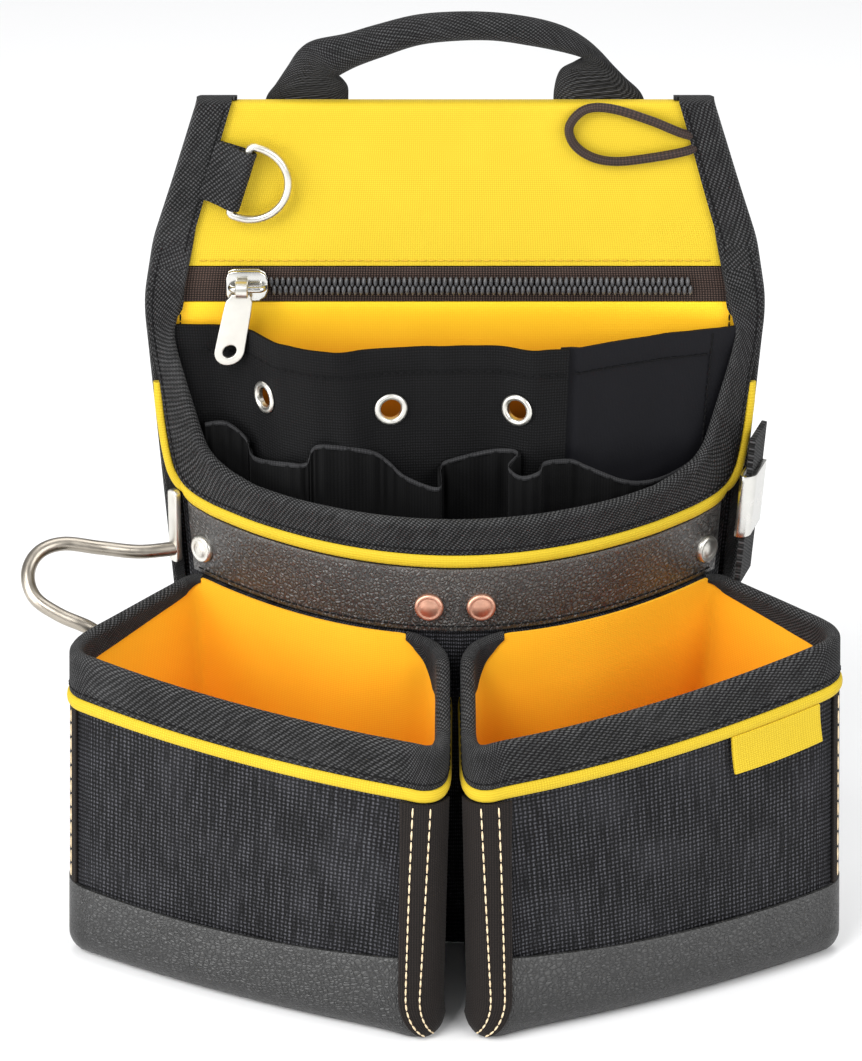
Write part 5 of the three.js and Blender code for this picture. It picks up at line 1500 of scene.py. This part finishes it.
stripNormal = mainNormal(hammer["u"], hammer["join"])
stripMiddle = mainSpot(hammer["u"], (hammer["low"] + hammer["high"]) / 2, hammer["out"] + 1.5)
strip = stampedPiece("hammerStrip", [roundedBox(hammer["wide"], hammer["high"] - hammer["low"], 1.2)],
                     hammer["thick"], 0.5, facing(stripMiddle, stripNormal))
footSpot = leftNail(footSize["at"], footSize["z"], 0.3)
footNormal = leftNail(footSize["at"], footSize["z"], 1) - leftNail(footSize["at"], footSize["z"], 0)
footNormal.normalize()
foot = stampedPiece("foot", [roundedBox(footSize["wide"], footSize["tall"], 2.5)], footSize["thick"], 0.4,
                    facing(footSpot + footNormal * 1.0, footNormal))
stripJoin = mainSpot(hammer["u"], hammer["join"], hammer["out"] + hammer["thick"] / 2)
wirePoints = [stripJoin] + [Vector(row) for row in hammerRoute]
wirePoints += [footSpot + footNormal * 4.6 + Vector((0, 0, 3)), footSpot + footNormal * 1.4]
wireLine = [curveThrough(wirePoints, at / 120) for at in range(121)]
wire = tubePiece("wire", (16, 120), wirePlace(wireLine, hammer["wire"]), (15, 150))
finishPiece(strip, satinSteel, "steel")
finishPiece(joinPieces("hammerHolder", [wire, foot]), drawnWire, "steel", ["hammer_holder"])

# Tape clip on the right: webbing strap and bent steel clip, leaning with the side edge
clip = {"lean": (101 - 86.5) / 209, "turn": 0.33, "turnY": -9.3, "base": 86.5, "thick": 1.5,
        "front": -18.9, "back": -4.2, "low": 136, "high": 158}
strap = {"in": 1.8, "thick": 2, "front": -17, "back": -1.6, "low": 117, "high": 171}


def leaning(x, y, z):
    turned = clip["turn"] * (y - clip["turnY"])
    return Vector((clip["base"] + clip["lean"] * z + x + turned, y, z))


def strapPlace(across, up):
    z = mix(strap["low"], strap["high"], up)
    return leaning(strap["in"] + strap["thick"], mix(strap["front"], strap["back"], across), z)


finishPiece(clothPiece("clipStrap", (16, 40), strapPlace, (15.4, 54), strap["thick"], edge=0.4),
            bindingTape, "black_webbing", ["clip_strap"])
clipFar = strap["in"] + strap["thick"] + 0.3 + clip["thick"]
clipNear = strap["in"] - 0.3 - clip["thick"]
clipMiddle = (clipFar + clipNear) / 2
clipReach = (clipFar - clipNear) / 2
clipLine = [Vector((clipNear, clip["back"], 0))]
for at in range(13):
    turn = pi + pi * at / 12
    clipLine.append(Vector((clipMiddle + clipReach * cos(turn),
                            clip["front"] + 2.4 + 2.4 * sin(turn), 0)))
clipLine.append(Vector((clipFar, clip["back"], 0)))


def clipPlace(across, up):
    here = alongLine(clipLine, across)
    return leaning(here.x, here.y, mix(clip["low"], clip["high"], up))


finishPiece(clothPiece("tapeClip", (60, 12), clipPlace, (34, 22), clip["thick"], edge=0.4), nickelSteel,
            "steel", ["tape_clip"])
print("hammer holder and tape clip made")

# Stitches: one modelled stitch, copied along each row
stitchSetup = {"tan": (3.6, 0.28, tanThread), "dark": (2.6, 0.28, darkThread),
               "yellow": (2.6, 0.26, yellowThread)}
stitchSlots = {"tan": "yellow_cloth", "dark": "black_webbing", "yellow": "yellow_cloth"}
for thread, rows in stitchRows.items():
    pitch, radius, material = stitchSetup[thread]
    frames = []
    for row in rows:
        for (start, startNormal), (stop, stopNormal) in zip(row, row[1:]):
            along = (stop - start).normalized()
            out = (startNormal + stopNormal).normalized()
            out = (out - along * out.dot(along)).normalized()
            across = out.cross(along)
            stretch = (stop - start).length / pitch
            place = Matrix((along * stretch, across, out)).transposed().to_4x4()
            place.translation = (start.lerp(stop, 0.5) + out * radius * 0.2) * mm
            frames.append(place)
    stitch = beadPiece(6, 5, (pitch * 0.5, radius * 1.2, radius))
    finishPiece(copiesOf(f"stitches_{thread}", stitch, frames), material, stitchSlots[thread], angle=80)
print("stitches made")

# Cut sizes of the cloth in millimetres, how each sheet is held and what it lies on
clothTable = [
    ("upperPanel", (190, 58), "folded", "back_panel"),
    ("backLining", (184, 206), "stretched", "back_panel"),
    ("zipTape", (196, 12), "stretched", "back_panel"),
    ("eyeletPanel", (130, 138), "hung", "back_panel"),
    ("flatPocket", (60, 135), "hung", "back_panel"),
    ("loopPockets", (190, 85), "gathered", "eyelet_panel"),
    ("mainWall", (240, 140), "stretched", "back_panel"),
    ("mainFloor", (154, 36), "laid", "main_wall"),
    ("rimBinding", (300, 32), "folded", "main_wall"),
    ("rivetBand", (230, 22), "stretched", "main_wall"),
    ("labelTag", (39, 13), "hung", "nail_shell_right"),
    ("ringTab", (30, 21), "folded", "d_ring"),
    ("clipStrap", (15.4, 56), "hung", "side_binding_right"),
    ("beltTunnel", (124, 92), "stretched", "back_panel"),
]
for side in ("right", "left"):
    clothTable += [
        (f"sideBinding_{side}", (24, 288), "folded", "back_panel"),
        (f"nailShell_{side}", (380, 117), "stretched", "main_wall"),
        (f"nailLining_{side}", (370, 115), "laid", f"nail_shell_{side}"),
        (f"nailRimBinding_{side}", (250, 31), "folded", f"nail_shell_{side}"),
        (f"baseGuard_{side}", (140, 31), "stretched", f"nail_shell_{side}"),
        (f"innerSeamTape_{side}", (16, 106), "stretched", f"nail_shell_{side}"),
        (f"outerSeamTape_{side}", (12, 66), "stretched", f"nail_shell_{side}"),
    ]
print("sheets declared")
